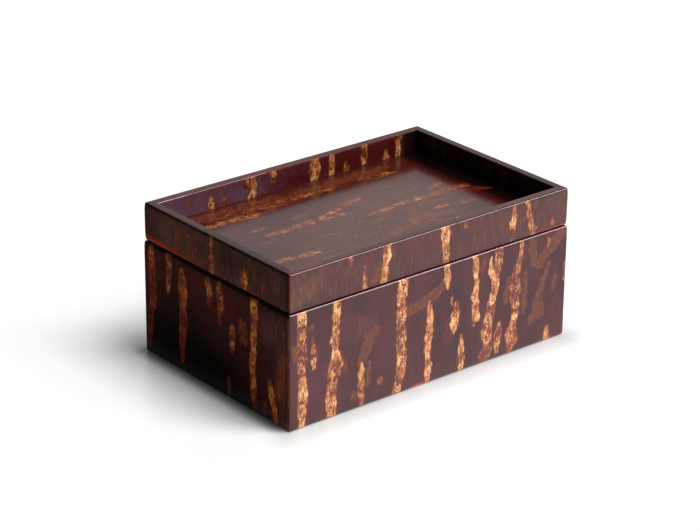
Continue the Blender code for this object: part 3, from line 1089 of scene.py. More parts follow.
@dataclass
class BodyBox:
    """The box that the lid lifts off: four walls of bark on boards, the lining and the floor.

    Attributes:
        finishes: The materials.
        base: The rounded edge that the box stands on.
        seam: The rounded edge at the seam.
        wave: How deep the polished faces undulate.
        floor_top: Height of the floor's face inside.
        board_edge: Height above which a board's corners belong to the seam.
    """

    finishes: Finishes
    base: Arris = Arris(0.0, 1, 0.0016)
    seam: Arris = Arris(0.0674, -1, 0.0014, 0.0002, 0.0050)
    wave: float = 0.00005
    floor_top: float = 0.0058
    board_edge: float = 0.0625

    def draw_front(self) -> Figure:
        """The front's bark, as the photograph shows it."""
        streaks = (
            Streak(((-91.4, 69, 5.5), (-91.6, 60.6, 6.5)), 0.95, eyes=(62.6,)),
            Streak(((-91.6, 59.6, 6), (-91.3, 49.7, 6), (-91.5, 40.8, 7), (-91.4, 31.4, 4.5)),
                   0.5, 0.1, eyes=(50.4, 39.8, 33.4)),
            Streak(((-91.1, 27.9, 5), (-90.8, 20, 6.5), (-91.4, 10.1, 5.5), (-91.6, 0, 4)),
                   0.95, eyes=(19.5, 11.1, 3.8)),
            Streak(((-83.3, 46.3, 2), (-83.1, 41.8, 4), (-83.5, 36.8, 4.2), (-83.4, 33.4, 2.5)),
                   0.75, eyes=(42.3, 37.4)),
            Streak(((-67.9, 69, 5.5), (-68.2, 59.6, 5), (-68.8, 51.7, 4.5)), 0.95, eyes=(63.6, 56.7, 52.5)),
            Streak(((-68.8, 50.7, 4.5), (-69.2, 44.8, 6), (-68.8, 37.8, 3.5)), 1.0, eyes=(39.3,)),
            Streak(((-68.6, 36.8, 6), (-68.6, 29.9, 9.5), (-70.1, 23.9, 8)), 0.75, eyes=(27.3, 21.6)),
            Streak(((-70.9, 22, 6), (-71.5, 14, 6.5), (-71.6, 8.1, 7.5), (-71.3, 1, 6)), 0.7, eyes=(6.1,)),
            Streak(((-51, 25.9, 1.5), (-50.6, 21, 4.5), (-50.8, 13, 4.5), (-50.7, 3.1, 3)),
                   0.9, eyes=(22.4, 18, 12)),
            loop(-37.5, 12, 4, 4, 0.55),
            Streak(((-21.9, 67, 6.5), (-23.4, 56.6, 7), (-23.2, 52.7, 5)), 0.8, eyes=(63.6, 55.2)),
            Streak(((-22.8, 49.7, 6.5), (-23.5, 39.8, 6.5)), 0.9, eyes=(46.7,)),
            Streak(((-23, 39.8, 6), (-23, 30.9, 7), (-22.3, 21.9, 7), (-22.9, 14, 6)),
                   0.7, eyes=(34.3, 27.4, 18.5)),
            Streak(((-23, 12, 6), (-24, 7.1, 6), (-26.2, 1, 6)), 0.7, eyes=(5.1,)),
            Streak(((-3.3, 48.7, 1.5), (-3, 42.7, 4), (-2.4, 35.8, 5), (-3, 27.9, 5.5)),
                   0.9, eyes=(38.1, 35, 30.8)),
            Streak(((-3, 26.9, 4.5), (-4, 19.9, 4), (-3.8, 17, 3)), 0.95, eyes=(20.4,)),
            Streak(((-3.8, 17, 3), (-3.1, 10, 5), (-3.7, 2, 4)), 0.85, eyes=(6.5,)),
            Streak(((9.1, 68, 3.5), (9.6, 59.6, 4.5), (10, 53.6, 2)), 1.0, eyes=(64.1,)),
            Streak(((13, 46.7, 1), (13, 42.7, 1.4)), 0.8),
            Streak(((16.7, 41.7, 3), (15.9, 35.8, 6), (15.5, 29.8, 6.5), (14.9, 25.4, 2)),
                   0.85, eyes=(34.8,)),
            Streak(((21, 21.9, 1.5), (21, 15, 3.5), (20.8, 8, 5), (21, 2, 4)), 0.8, eyes=(5.6,)),
            Streak(((29.4, 67.5, 3), (30.5, 60.6, 4.4), (30.7, 54.6, 3)), 1.25, eyes=()),
            Streak(((30.9, 53.6, 3.2), (31.5, 49.7, 4), (29.9, 42.7, 5), (31.3, 38.8, 3.6)),
                   0.9, eyes=(43.2,)),
            Streak(((30.3, 37.8, 4), (30.7, 32.8, 5), (32.2, 29.3, 5)), 1.2, eyes=(34.8,)),
            Streak(((29.6, 29.8, 2), (29.8, 25.9, 1.5)), 0.5),
            Streak(((42.1, 62.6, 1.5), (41.3, 55.6, 3.5), (43.2, 51.7, 4.5)), 1.0, eyes=()),
            Streak(((43.8, 52.6, 4.5), (45.6, 45.7, 4.6), (44.2, 39.8, 5.2), (42.2, 33.8, 5)),
                   1.15, eyes=(36.8,)),
            Streak(((42.7, 32.8, 6.5), (40.7, 25.9, 7), (39.6, 17.9, 8), (41.6, 10, 6), (41.1, 4.1, 4)),
                   0.5, eyes=(25.9, 15)),
            Streak(((47.7, 68.5, 5.5), (47.6, 59.6, 6), (46.8, 53.6, 4), (47, 46.7, 1.5)),
                   0.65, eyes=(61.6,)),
            Streak(((64.6, 66, 2.5), (63.8, 57.6, 3), (61.9, 51.6, 5), (60.9, 47.7, 5)), 0.65, eyes=()),
            Streak(((60.7, 46.7, 6), (60.3, 41.7, 8.5), (60.7, 35.8, 7.5)), 0.6, 0.1, eyes=(40.2,)),
            Streak(((60.7, 34.8, 7), (61.3, 29.8, 6), (61.5, 26.9, 6)), 0.6),
            Streak(((61.5, 25.9, 5), (60.8, 21.4, 4.5)), 1.15, eyes=(22.2,)),
            Streak(((59.8, 18.9, 4), (58.4, 13, 9), (59, 8, 9), (57.5, 3.1, 5)), 0.6, 0.1, eyes=(13, 6)),
            Streak(((49.1, 21.9, 2), (49.3, 16.9, 4.5), (47.9, 11, 5.5), (47.5, 4.1, 3)), 0.75, eyes=(11,)),
            Streak(((38.1, 5.1, 7), (37.7, 1, 7)), 0.45),
            Streak(((86.3, 8, 3), (86.4, 2, 4.5)), 0.8),
            Streak(((85.1, 63, 1.6), (85.4, 59.6, 1.8)), 0.6),
            Streak(((99, 44.7, 3), (99.4, 35.8, 3)), 0.6, 0.3),
        )
        stains = (
            Patch(((-50.4, 27.9, 5), (-46.4, 35.8, 7), (-42.4, 42.8, 6)), 0.8),
            Patch(((-46.4, 12, 3), (-45.4, 23.9, 4)), 0.6),
            Patch(((-55.4, 8.1, 6),), 0.6),
            Patch(((-64.3, 33.9, 4), (-62.3, 25.9, 3)), 0.6),
            Patch(((-85.1, 57.7, 3), (-84.1, 47.7, 3)), 0.6),
            Patch(((-96, 47.7, 4), (-95.1, 41.8, 3)), 0.7),
            Patch(((-19, 47.7, 5), (-9.5, 48.7, 5), (-0.5, 51.7, 5), (8.4, 56.6, 5)), 0.85),
            Patch(((36.3, 61.6, 4), (35.3, 55.6, 3)), 0.6),
            Patch(((55.2, 46.7, 2), (53.6, 33.8, 2.5)), 0.8),
            Patch(((68.1, 46.7, 3), (67.5, 23.9, 3)), 0.7),
            Patch(((72.6, 63.5, 5), (75.1, 51.6, 4)), 0.8),
            Patch(((97, 66, 6), (88, 58.6, 6), (79.1, 49.7, 5)), 0.85),
            Patch(((85.5, 47.7, 2), (81.5, 35.8, 3), (78, 27.8, 5), (78.9, 19.9, 9), (74, 16.9, 5)), 0.8),
            Patch(((91, 37.7, 5), (88.9, 29.8, 4)), 0.5),
        )
        hairs = (
            Patch(((-60, 50, 14), (-45, 45, 12)), 0.35),
            Patch(((12, 22, 6), (10, 30, 4)), 0.4),
        )
        glows = (
            Patch(((-17, -0.5, 2), (-11, 0.4, 3), (-5, 0, 1.5)), 1.05, 3.0),
            Patch(((24, 0, 1), (34, 0, 1)), 0.6),
            Patch(((80, 0, 1), (97, 0, 2), (99, 5, 1)), 0.55),
            Patch(((33, 20, 3),), 0.35),
            Patch(((-99, 0, 0.5), (99, 0, 0.5)), 0.4, 1.5),
        )
        return Figure(streaks, stains, hairs, glows)

    def draw_left(self) -> Figure:
        """The left side's bark, as the photograph shows it."""
        streaks = (
            Streak(((-57.8, 66, 3), (-57.7, 60.2, 5), (-57.5, 54.3, 5.5), (-57.5, 47.3, 5)),
                   0.5, 0.25, eyes=(63.5, 56.8)),
            Streak(((-57.1, 46.3, 5), (-56.6, 38.4, 6), (-57.2, 31.4, 5)), 0.45, 0.75, eyes=(39.7,)),
            Streak(((-59.2, 27.4, 5), (-59.8, 15.5, 4), (-61.5, 5.6, 3)), 0.25, 0.95),
            Streak(((-41.4, 67, 4.5), (-41.2, 60.1, 4.5), (-41.6, 52.2, 4), (-42.2, 44.2, 2)), 0.65),
            Streak(((-29.3, 61.1, 3), (-28.7, 54.1, 7), (-28.5, 47.2, 8), (-28.9, 42.2, 6)),
                   0.65, 0.25, eyes=(56, 49.1)),
            Streak(((-29, 40.2, 5), (-28.2, 34.2, 6.5), (-28.8, 26.3, 6), (-29.8, 16.4, 4), (-29.5, 6.4, 2)),
                   0.45, 0.7, eyes=(25.4,)),
            Streak(((-6, 63, 4), (-4, 57, 5), (-4.5, 50, 2.5)), 0.45, eyes=(57.1,)),
            Streak(((4.5, 64.9, 3), (5, 58.9, 5.5), (5.9, 53, 5.5), (5.4, 50, 4)), 0.7, eyes=(61.4, 55.8)),
            Streak(((4.8, 48, 3), (4.6, 42, 1.5)), 0.4, 0.3),
            Streak(((15.8, 43.5, 3), (15.9, 38, 4.5), (15.7, 32.1, 3.5), (15.3, 28.6, 1.5)),
                   0.65, 0.1, eyes=(39, 34.5)),
            Streak(((35.2, 66, 6.5), (35.6, 57.8, 5), (35.2, 49.8, 4.5), (34.6, 43.9, 5), (34.7, 35.9, 4.5),
                    (33.7, 30, 5)), 0.8, eyes=(61.8, 54.8, 47.9, 39.9, 31.4)),
            Streak(((33.7, 30, 5), (33.9, 22, 4.5), (34.5, 14.1, 5), (34.8, 8.1, 4)),
                   0.8, eyes=(23, 14.1, 8.1)),
            Streak(((35.6, 8.1, 2.5), (35.8, 1, 1.5)), 0.6, 0.8),
            Streak(((48.8, 23, 3), (49.6, 17, 5), (51.5, 11, 4)), 0.8, eyes=(20.8, 16.1)),
            Streak(((52.5, 9, 4), (53.5, 2, 3.5)), 0.8, 0.2, eyes=(7.7,)),
            Streak(((12.6, 12.2, 1.5), (12.8, 2, 1.5)), 0.5, 0.9),
            Streak(((44.4, 9.1, 1.5), (44.5, 1, 1.5)), 0.5, 0.9),
        )
        stains = (
            Patch(((24.3, 49.9, 6), (26.2, 40, 8)), 0.5),
            Patch(((60, 39.8, 8), (55.9, 19.9, 8)), 0.5),
        )
        glows = (
            Patch(((-63, 4, 2), (-63.5, 20, 2), (-63, 45, 3)), 0.45),
            Patch(((35, 4, 2), (36, 0, 3)), 0.4),
            # red along the near corner, part of the rounded corner's painted shade
            Patch(((63.4, 0, 2.0), (63.4, 67, 2.0)), 0.50, 0.8),
        )
        # painted shade: the lower left of the side darkened almost to black, a dark band along the seam and a
        # dark line beside the near corner
        shades = (
            Patch(((-48, 14, 42), (-20, 10, 50), (2, 6, 46), (20, 4, 26), (34, 0, 6)), 1.15, 30.0),
            Patch(((-65, 67.0, 2.6), (65, 67.0, 2.6)), 1.15, 1.4),
            Patch(((62.7, 0, 0.8), (62.7, 67, 0.8)), 0.95, 0.8),
        )
        # hairlines towards the front corner, strong enough to also paint the sheen that makes it lighter
        # there
        hairs = (
            Patch(((45, 52, 10), (62, 56, 10), (62, 20, 10)), 1.0, 14.0),
        )
        return Figure(streaks, stains, hairs, glows, shades)

    def build(self) -> list[Piece]:
        """Make the bark of the walls, the seam and the floor inside."""
        figures = {
            Side.FRONT: self.draw_front(),
            Side.LEFT: self.draw_left(),
            Side.BACK: grown(11, (-96, 2), (96, 67), 15),
            Side.RIGHT: grown(23, (-61, 2), (61, 67), 10),
        }
        skin = filled(self.base.upright() + self.seam.upright()[::-1])
        turned = filled(self.seam.flat() + [(PLAN.wall, self.seam.level)])
        pieces = []
        for side in Side:
            word = f"body_{side.word}"
            outer = self.finishes.outer(side, "left_bark")
            strip = self.finishes.strip(side)
            pieces += [
                Piece(f"{word}_outer_bark", Cut.SHEET, side_grid(side, skin, self.wave), outer,
                      figures[side], side, worn=side is not Side.LEFT),
                Piece(f"{word}_seam_bark", Cut.STRIP, side_grid(side, turned), strip, side=side),
            ]
            recut(f"{word}_board", self.finishes.board(side, "core_wood"), self.board_edge)
            redress(f"{word}_lining_board", self.finishes.board(side, "lining_wood"))
        floor = plate_grid(PLAN.inside, self.floor_top, PLAN.coarse_spacing)
        pieces.append(Piece("body_floor_bark", Cut.FLOOR, floor, self.finishes.by_name["tray_bark"],
                            grown(31, (-88, -54), (88, 54), 11, True)))
        redress("body_bottom_board", self.finishes.by_name["core_wood_long"])
        redress("body_underside_bark", self.finishes.by_name["edge_bark_long"])
        return pieces


@dataclass
class TrayLid:
    """The lid: four rails in bark round a sunken panel, which makes its top a tray.

    Attributes:
        finishes: The materials.
        seam: The rounded edge at the seam.
        rim: The outer edge of the rim.
        tray_edge: The rim's edge over the tray, whose depth counts from the tray's wall.
        wave: How deep the polished faces undulate.
        tray_floor: Height of the tray's floor.
        wall_foot: Height at which the bark of the tray's walls ends.
        rail_edge: Height below which a rail's corners belong to the seam.
    """

    finishes: Finishes
    seam: Arris = Arris(0.0679, 1, 0.0009, 0.0003, 0.0090, LID_INSET)
    rim: Arris = Arris(0.0900, -1, 0.0009, 0.0003, 0.0045, LID_INSET)
    tray_edge: Arris = Arris(0.0900, -1, 0.0008)
    wave: float = 0.00003
    tray_floor: float = 0.0770
    wall_foot: float = 0.0764
    rail_edge: float = 0.0715

    def draw_front(self) -> Figure:
        """The lid's front, as the photograph shows it."""
        streaks = (
            Streak(((-58.1, 90, 1.8), (-58.3, 84.9, 1.2)), 0.5),
            Streak(((-49, 81.4, 1), (-48.6, 75.5, 2.8), (-49, 68.4, 3.5)), 0.7),
            Streak(((-33.7, 90, 5.5), (-33.3, 83.4, 5.5), (-35.1, 78.5, 4)), 1.05, eyes=()),
            Streak(((-35.1, 77.5, 4.5), (-35.1, 72, 4), (-35.7, 67.4, 5)), 0.95, eyes=(76.1, 71.5)),
            Streak(((7.5, 90, 5), (7.5, 85.4, 6.5), (7.9, 80.4, 5)), 0.7, eyes=(85.4,)),
            Streak(((7.7, 79.4, 5.5), (8.3, 75.5, 4.5), (8.9, 68.4, 4)), 0.65, eyes=(73.5,)),
            Streak(((58.1, 89, 2), (57.9, 84.4, 3.5)), 0.9, eyes=()),
            Streak(((57.9, 83.4, 3.5), (57.5, 79.4, 5), (57.5, 75.9, 3.5)), 0.95, eyes=(79.4,)),
            Streak(((57.6, 75.4, 2), (57.8, 68.4, 2.5)), 0.45),
            Streak(((68.2, 90, 3.5), (69.2, 83.4, 2.5), (70.6, 78.4, 3), (72.6, 71.5, 6)), 0.6),
            Streak(((87.7, 74.4, 2.5), (87.9, 72, 3)), 0.7),
            Streak(((22, 89, 1.5), (22, 86.4, 1.5)), 0.4),
        )
        stains = (
            Patch(((-42.3, 71.5, 4), (-39.3, 73.5, 3)), 0.7),
            Patch(((-93, 73.5, 3), (-92, 79.5, 2)), 0.5),
        )
        hairs = (
            Patch(((-95, 76, 12), (-82, 80, 12)), 1.0),
            Patch(((-61, 84, 4), (-58, 80, 4)), 0.8),
            Patch(((-39, 78, 5), (-30, 84, 6)), 0.9),
            Patch(((45, 83, 10), (95, 82, 14)), 0.6),
            Patch(((-96, 80, 20), (96, 80, 20)), 0.45),
        )
        # the first glow reddens the painted shade under the rim's rounded edge, the next two redden the
        # painted shade in the seam's groove
        glows = (
            Patch(((-98, 88.8, 0.2), (98, 88.8, 0.2)), 0.45, 1.0),
            Patch(((-100, 68.5, 0.6), (60, 68.5, 0.6)), 0.5, 1.0),
            Patch(((60, 68.5, 0.8), (98, 68.5, 1.6)), 0.7, 1.0),
        )
        # painted shade: in the seam's groove, and under the rim's rounded edge
        shades = (
            Patch(((-100, 68.3, 0.8), (70, 68.3, 0.8)), 0.85, 0.9),
            Patch(((-98, 88.9, 0.5), (98, 88.9, 0.5)), 0.45, 0.8),
        )
        return Figure(streaks, stains, hairs, glows, shades)

    def draw_left(self) -> Figure:
        """The lid's left side, as the photograph shows it."""
        streaks = (
            Streak(((-2.6, 90, 2), (-2, 83.8, 2.2), (-2.2, 81.8, 1)), 0.6),
            Streak(((-2.2, 81.8, 2), (-2, 77.8, 3.6), (-2, 74.9, 3)), 0.7, eyes=(77.8,)),
            Streak(((-2.4, 73.9, 2), (-2.7, 68.4, 3.4)), 0.8),
            Streak(((26, 80.2, 2.5), (25.9, 75.7, 5.5), (26.1, 72, 5)), 0.6, eyes=(76.3, 72.7)),
            Streak(((42.2, 77.6, 1.5), (42.4, 72.7, 2)), 0.4),
            Streak(((-17.3, 83.9, 2), (-17.7, 73.9, 2.5)), 0.3),
        )
        stains = (
            Patch(((-33.2, 83.9, 4), (-35.2, 74, 5)), 0.5),
            Patch(((-23.2, 84.9, 3), (-22.3, 71.5, 4)), 0.45),
        )
        glows = (
            Patch(((-64, 69.3, 4.2), (-45, 69.3, 3.8), (-26, 68.9, 2), (-8, 68.6, 0.5)), 0.85, 2.5),
            # red along the near corner, part of the rounded corner's painted shade
            Patch(((63.6, 68, 2.4), (63.6, 89, 2.4)), 0.45, 0.8),
        )
        # painted shade: along the rim's outer edge and the seam, and darker towards the near corner with a
        # dark line beside it
        shades = (
            Patch(((-65, 90, 2.4), (65, 90, 2.4)), 1.15, 1.6),
            Patch(((-65, 67.6, 0.8), (65, 67.6, 0.8)), 1.1, 0.9),
            Patch(((66, 90, 8), (66, 67.4, 4)), 0.8, 6.0),
            # darker in the middle of the side
            Patch(((-5, 80, 14), (8, 82, 18)), 0.35, 10.0),
            Patch(((62.9, 68, 1.2), (62.9, 89, 1.2)), 0.95, 0.8),
        )
        # hairlines over the side, which also paint the sheen that makes the lid's side lighter than the box's
        return Figure(streaks, stains, (Patch(((-40, 80, 20), (60, 80, 24)), 0.35),), glows, shades)

    def draw_tray(self) -> Figure:
        """The tray's floor, as the photograph shows it."""
        streaks = (
            Streak(((-78.1, 39.2, 3), (-70.2, 38.6, 5), (-60.2, 38.2, 5), (-47.3, 37.7, 6.5),
                    (-36.4, 36.7, 2)), 0.75),
            Streak(((-62.2, 44.2, 3), (-43.3, 43.6, 6), (-30.3, 43.7, 6), (-20.4, 43.9, 5), (-7.1, 43.1, 4),
                    (13.4, 42.6, 2)), 0.55, 0.1),
            Streak(((-57.4, 9.1, 2), (-49.5, 8.7, 4), (-44.5, 9.1, 5.5), (-38.5, 9.1, 3)), 0.6),
            Streak(((-36.6, 9.1, 4), (-25.6, 9.5, 4.5), (-12.7, 9.1, 4.5), (-0.8, 7.1, 2)), 0.6),
            Streak(((-60.3, 18.6, 2), (-56.4, 18.8, 3.5), (-51.4, 19.1, 2)), 0.6),
            Streak(((-77.5, -22.5, 2), (-72.5, -22.9, 4), (-61.6, -23.9, 4), (-54.7, -24.9, 5),
                    (-47.7, -25.9, 2)), 0.7),
            Streak(((-16.7, 12.1, 1.5), (-2.7, 15.1, 4), (7.2, 17.9, 4.5), (19.2, 20.7, 2)), 0.55),
            Streak(((37.3, 42.6, 3), (46.2, 41.7, 5.5), (53.1, 41.1, 5), (61.1, 40.1, 2)), 0.65, 0.1),
            Streak(((7.1, -1.7, 2), (15.1, -0.9, 3.5), (30.6, -0.1, 3.5), (38.9, -0.1, 4.5), (49.9, -0.1, 4)),
                   0.75),
            Streak(((49.9, -0.1, 4), (58.8, 0.2, 5), (69.7, 0, 6), (78.7, -1, 5)), 0.6, 0.1),
            Streak(((72.7, -5, 4), (80.6, -8, 4.5), (87.5, -13, 2)), 0.5, 0.8),
            Streak(((58.9, 8, 2), (64.4, 8.4, 4), (69.8, 9, 2)), 0.6),
            Streak(((42.8, -16.6, 2), (50.7, -18, 3.5), (60.6, -20, 3.5), (67.6, -21, 2)), 0.6),
            loop(12, -9.9, 8, 4, 0.45),
            Streak(((4.9, -27.9, 3), (12.9, -24.9, 5), (24.8, -28, 5), (32.7, -31, 3)), 0.35, 0.2),
            Streak(((38.7, -35, 2), (52.6, -37, 3), (62.5, -39, 2)), 0.35),
        )
        stains = (
            Patch(((-66.4, 1.1, 5), (-56.5, 3.1, 4)), 0.5),
            Patch(((-84, 50, 10), (-50, 51, 12), (-20, 50, 10)), 0.5, 8.0),
            Patch(((-80, 39, 7), (-45, 39, 8), (-10, 42, 6)), 0.55, 5.0),
            Patch(((-34.7, -8.9, 5), (-20.8, -12.9, 4)), 0.5),
            Patch(((-1.1, -30.9, 6), (28.8, -21, 8), (46.7, -27, 6)), 0.6),
            Patch(((-20.4, 45.1, 12), (59.2, 49.1, 10)), 0.55, 8.0),
            Patch(((-4.7, 13.1, 4), (15.2, 23.1, 4)), 0.55),
            Patch(((-30.5, 19.1, 4), (-12.6, 23.1, 3)), 0.5),
            Patch(((42.8, -7, 4), (58.7, -10, 3)), 0.5),
            Patch(((-50.8, -34.9, 5), (-21, -38.9, 5)), 0.45),
        )
        # painted shade: a dark line along the back wall's base, and the right wall's shadow on the floor,
        # almost black
        shades = (
            Patch(((-93, 58.4, 1.2), (93, 58.4, 1.2)), 0.8, 1.5),
            Patch(((91.3, 58, 22), (91.3, -60, 20)), 1.1, 8.0),
        )
        return Figure(streaks, stains, (Patch(((-30, -30, 60), (30, 0, 60)), 0.7, 30.0),), shades=shades)

    def draw_tray_back(self) -> Figure:
        """The inside of the tray's back wall, as the photograph shows it."""
        streaks = (
            Streak(((-58, 76.1, 5.5), (-58, 79.6, 4), (-57.9, 85, 1.5)), 0.9),
            Streak(((-49, 76.1, 4), (-49, 80.6, 2)), 0.7),
            Streak(((-72.4, 83.5, 2.5), (-71.9, 82.6, 2)), 0.5, 0.4),
            Streak(((-33.6, 90, 5), (-33.4, 85, 3)), 0.6),
            Streak(((-28, 89, 3), (-28.4, 82.5, 4.5), (-29.6, 76.6, 5)), 0.75),
            Streak(((-14.1, 90, 4.5), (-14.2, 84, 2.5)), 0.7),
            Streak(((15.7, 89.5, 5), (16.2, 83.5, 8), (15.7, 77.1, 5)), 1.0),
            Streak(((28.8, 89, 3), (28.9, 83.5, 4.5), (29.1, 77.6, 4)), 0.75),
            Streak(((39.6, 81.5, 2), (39.7, 78.5, 4.5)), 0.75),
            Streak(((53.1, 90, 5), (53, 83.5, 4), (53.2, 79, 3)), 0.7),
            Streak(((70, 82, 2), (70.2, 78, 4.5)), 0.8),
            Streak(((79.3, 89.6, 6), (79.3, 84.5, 3), (79.4, 78, 4)), 0.8),
        )
        # towards the right the wall's painted sheen gives way to the bark's dark red
        glows = (
            Patch(((0, 80, 20), (95, 83, 30)), 1.0, 55.0),
        )
        # painted shade: the right end of the wall, almost black
        shades = (
            Patch(((93, 90, 18), (93, 76, 18)), 1.15, 4.0),
        )
        rubbed = (
            Patch(((-93, 90, 2), (-76, 90, 2)), 1.0, 1.0),
            Patch(((-76, 90, 2), (-20, 90, 2)), 0.35, 1.0),
        )
        stains = (Patch(((26, 84, 5), (40, 83, 4)), 0.5),)
        return Figure(streaks, stains, (), glows, shades, rubbed)

    def build(self) -> list[Piece]:
        """Make the bark of the rails, the rim, the tray and the underside."""
        outers = {
            Side.FRONT: self.draw_front(),
            Side.LEFT: self.draw_left(),
            Side.BACK: grown(41, (-96, 68.5), (96, 89), 12),
            Side.RIGHT: grown(53, (-61, 68.5), (61, 89), 8),
        }
        walls = {
            Side.FRONT: grown(61, (-90, 77), (90, 89), 11),
            Side.LEFT: grown(67, (-56, 77), (56, 89), 7),
            Side.BACK: self.draw_tray_back(),
            Side.RIGHT: grown(71, (-56, 77), (56, 89), 7),
        }
        skin = filled(self.seam.upright() + self.rim.upright()[::-1])
        under = filled(self.seam.flat() + [(PLAN.wall, self.seam.level)])
        across = [(PLAN.rim - depth, height) for depth, height in self.tray_edge.flat()]
        top = filled(self.rim.flat() + across[::-1])
        inner = [(PLAN.rim - depth, height) for depth, height in self.tray_edge.upright()]
        wall = filled([(PLAN.rim, self.wall_foot)] + inner[::-1])
        pieces = []
        for side in Side:
            word = f"lid_{side.word}"
            outer = self.finishes.outer(side, "left_lid_bark")
            strip = self.finishes.strip(side)
            inside = self.finishes.tray_side(side)
            below = side_grid(side, under, inset=LID_INSET)[:, ::-1]
            pieces += [
                Piece(f"{word}_outer_bark", Cut.SHEET, side_grid(side, skin, self.wave, LID_INSET), outer,
                      outers[side], side, worn=side is not Side.LEFT, inset=LID_INSET),
                Piece(f"{word}_seam_bark", Cut.STRIP, below, strip, side=side),
                Piece(f"{word}_rim_bark", Cut.STRIP, side_grid(side, top, inset=LID_INSET), strip, side=side),
                Piece(f"{word}_tray_bark", Cut.SHEET, side_grid(side, wall)[:, ::-1], inside,
                      walls[side], side, mirrored=True),
            ]
            recut(f"{word}_rail", self.finishes.board(side, "core_wood"), self.rail_edge)
        bark = self.finishes.by_name["tray_bark"]
        floor = plate_grid(PLAN.rim + PLAN.hairline_gap, self.tray_floor, PLAN.spacing)
        pieces.append(Piece("lid_tray_floor_bark", Cut.FLOOR, floor, bark, self.draw_tray()))
        low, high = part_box("lid_underside_bark")
        under_floor = plate_grid(PLAN.width / 2 - high.y, low.z, PLAN.coarse_spacing, False)
        pieces.append(Piece("lid_underside_bark", Cut.FLOOR, under_floor, bark,
                            grown(83, (-88, -54), (88, 54), 10, True)))
        redress("lid_tray_panel", self.finishes.by_name["core_wood_long"])
        return pieces


class Light(Enum):
    """What a lamp does: everything, or only the bark's colour, or only the polish over it."""

    ALL = "all"
    COLOUR = "colour"
    POLISH = "polish"


@dataclass(frozen=True)
class Lamp:
    """A large soft lamp, far away.

    Attributes:
        name: Its name.
        towards: The way from the box to the lamp.
        spread: How wide it looks from the box, in degrees.
        level: How bright it makes a white floor, where 1 is white.
        tint: Its colour.
        lights: What of the box it lights.
    """

    name: str
    towards: Triple
    spread: float
    level: float
    tint: Colour = (1.0, 1.0, 1.0)
    lights: Light = Light.ALL

    def hang(self, faces: bpy.types.Collection) -> None:
        """Hang the lamp. One for the polish alone lights only the given faces."""
        towards = Vector(self.towards).normalized()
        data = bpy.data.lights.new(self.name, "SUN")
        data.angle = math.radians(self.spread)
        data.energy = math.pi * self.level / towards.z
        data.color = self.tint
        made = shown_object(self.name, data)
        made.matrix_world = towards.to_track_quat("Z", "Y").to_matrix().to_4x4()
        made.visible_diffuse = self.lights is not Light.POLISH
        made.visible_glossy = self.lights is not Light.COLOUR
        if self.lights is Light.POLISH:
            made.light_linking.receiver_collection = faces


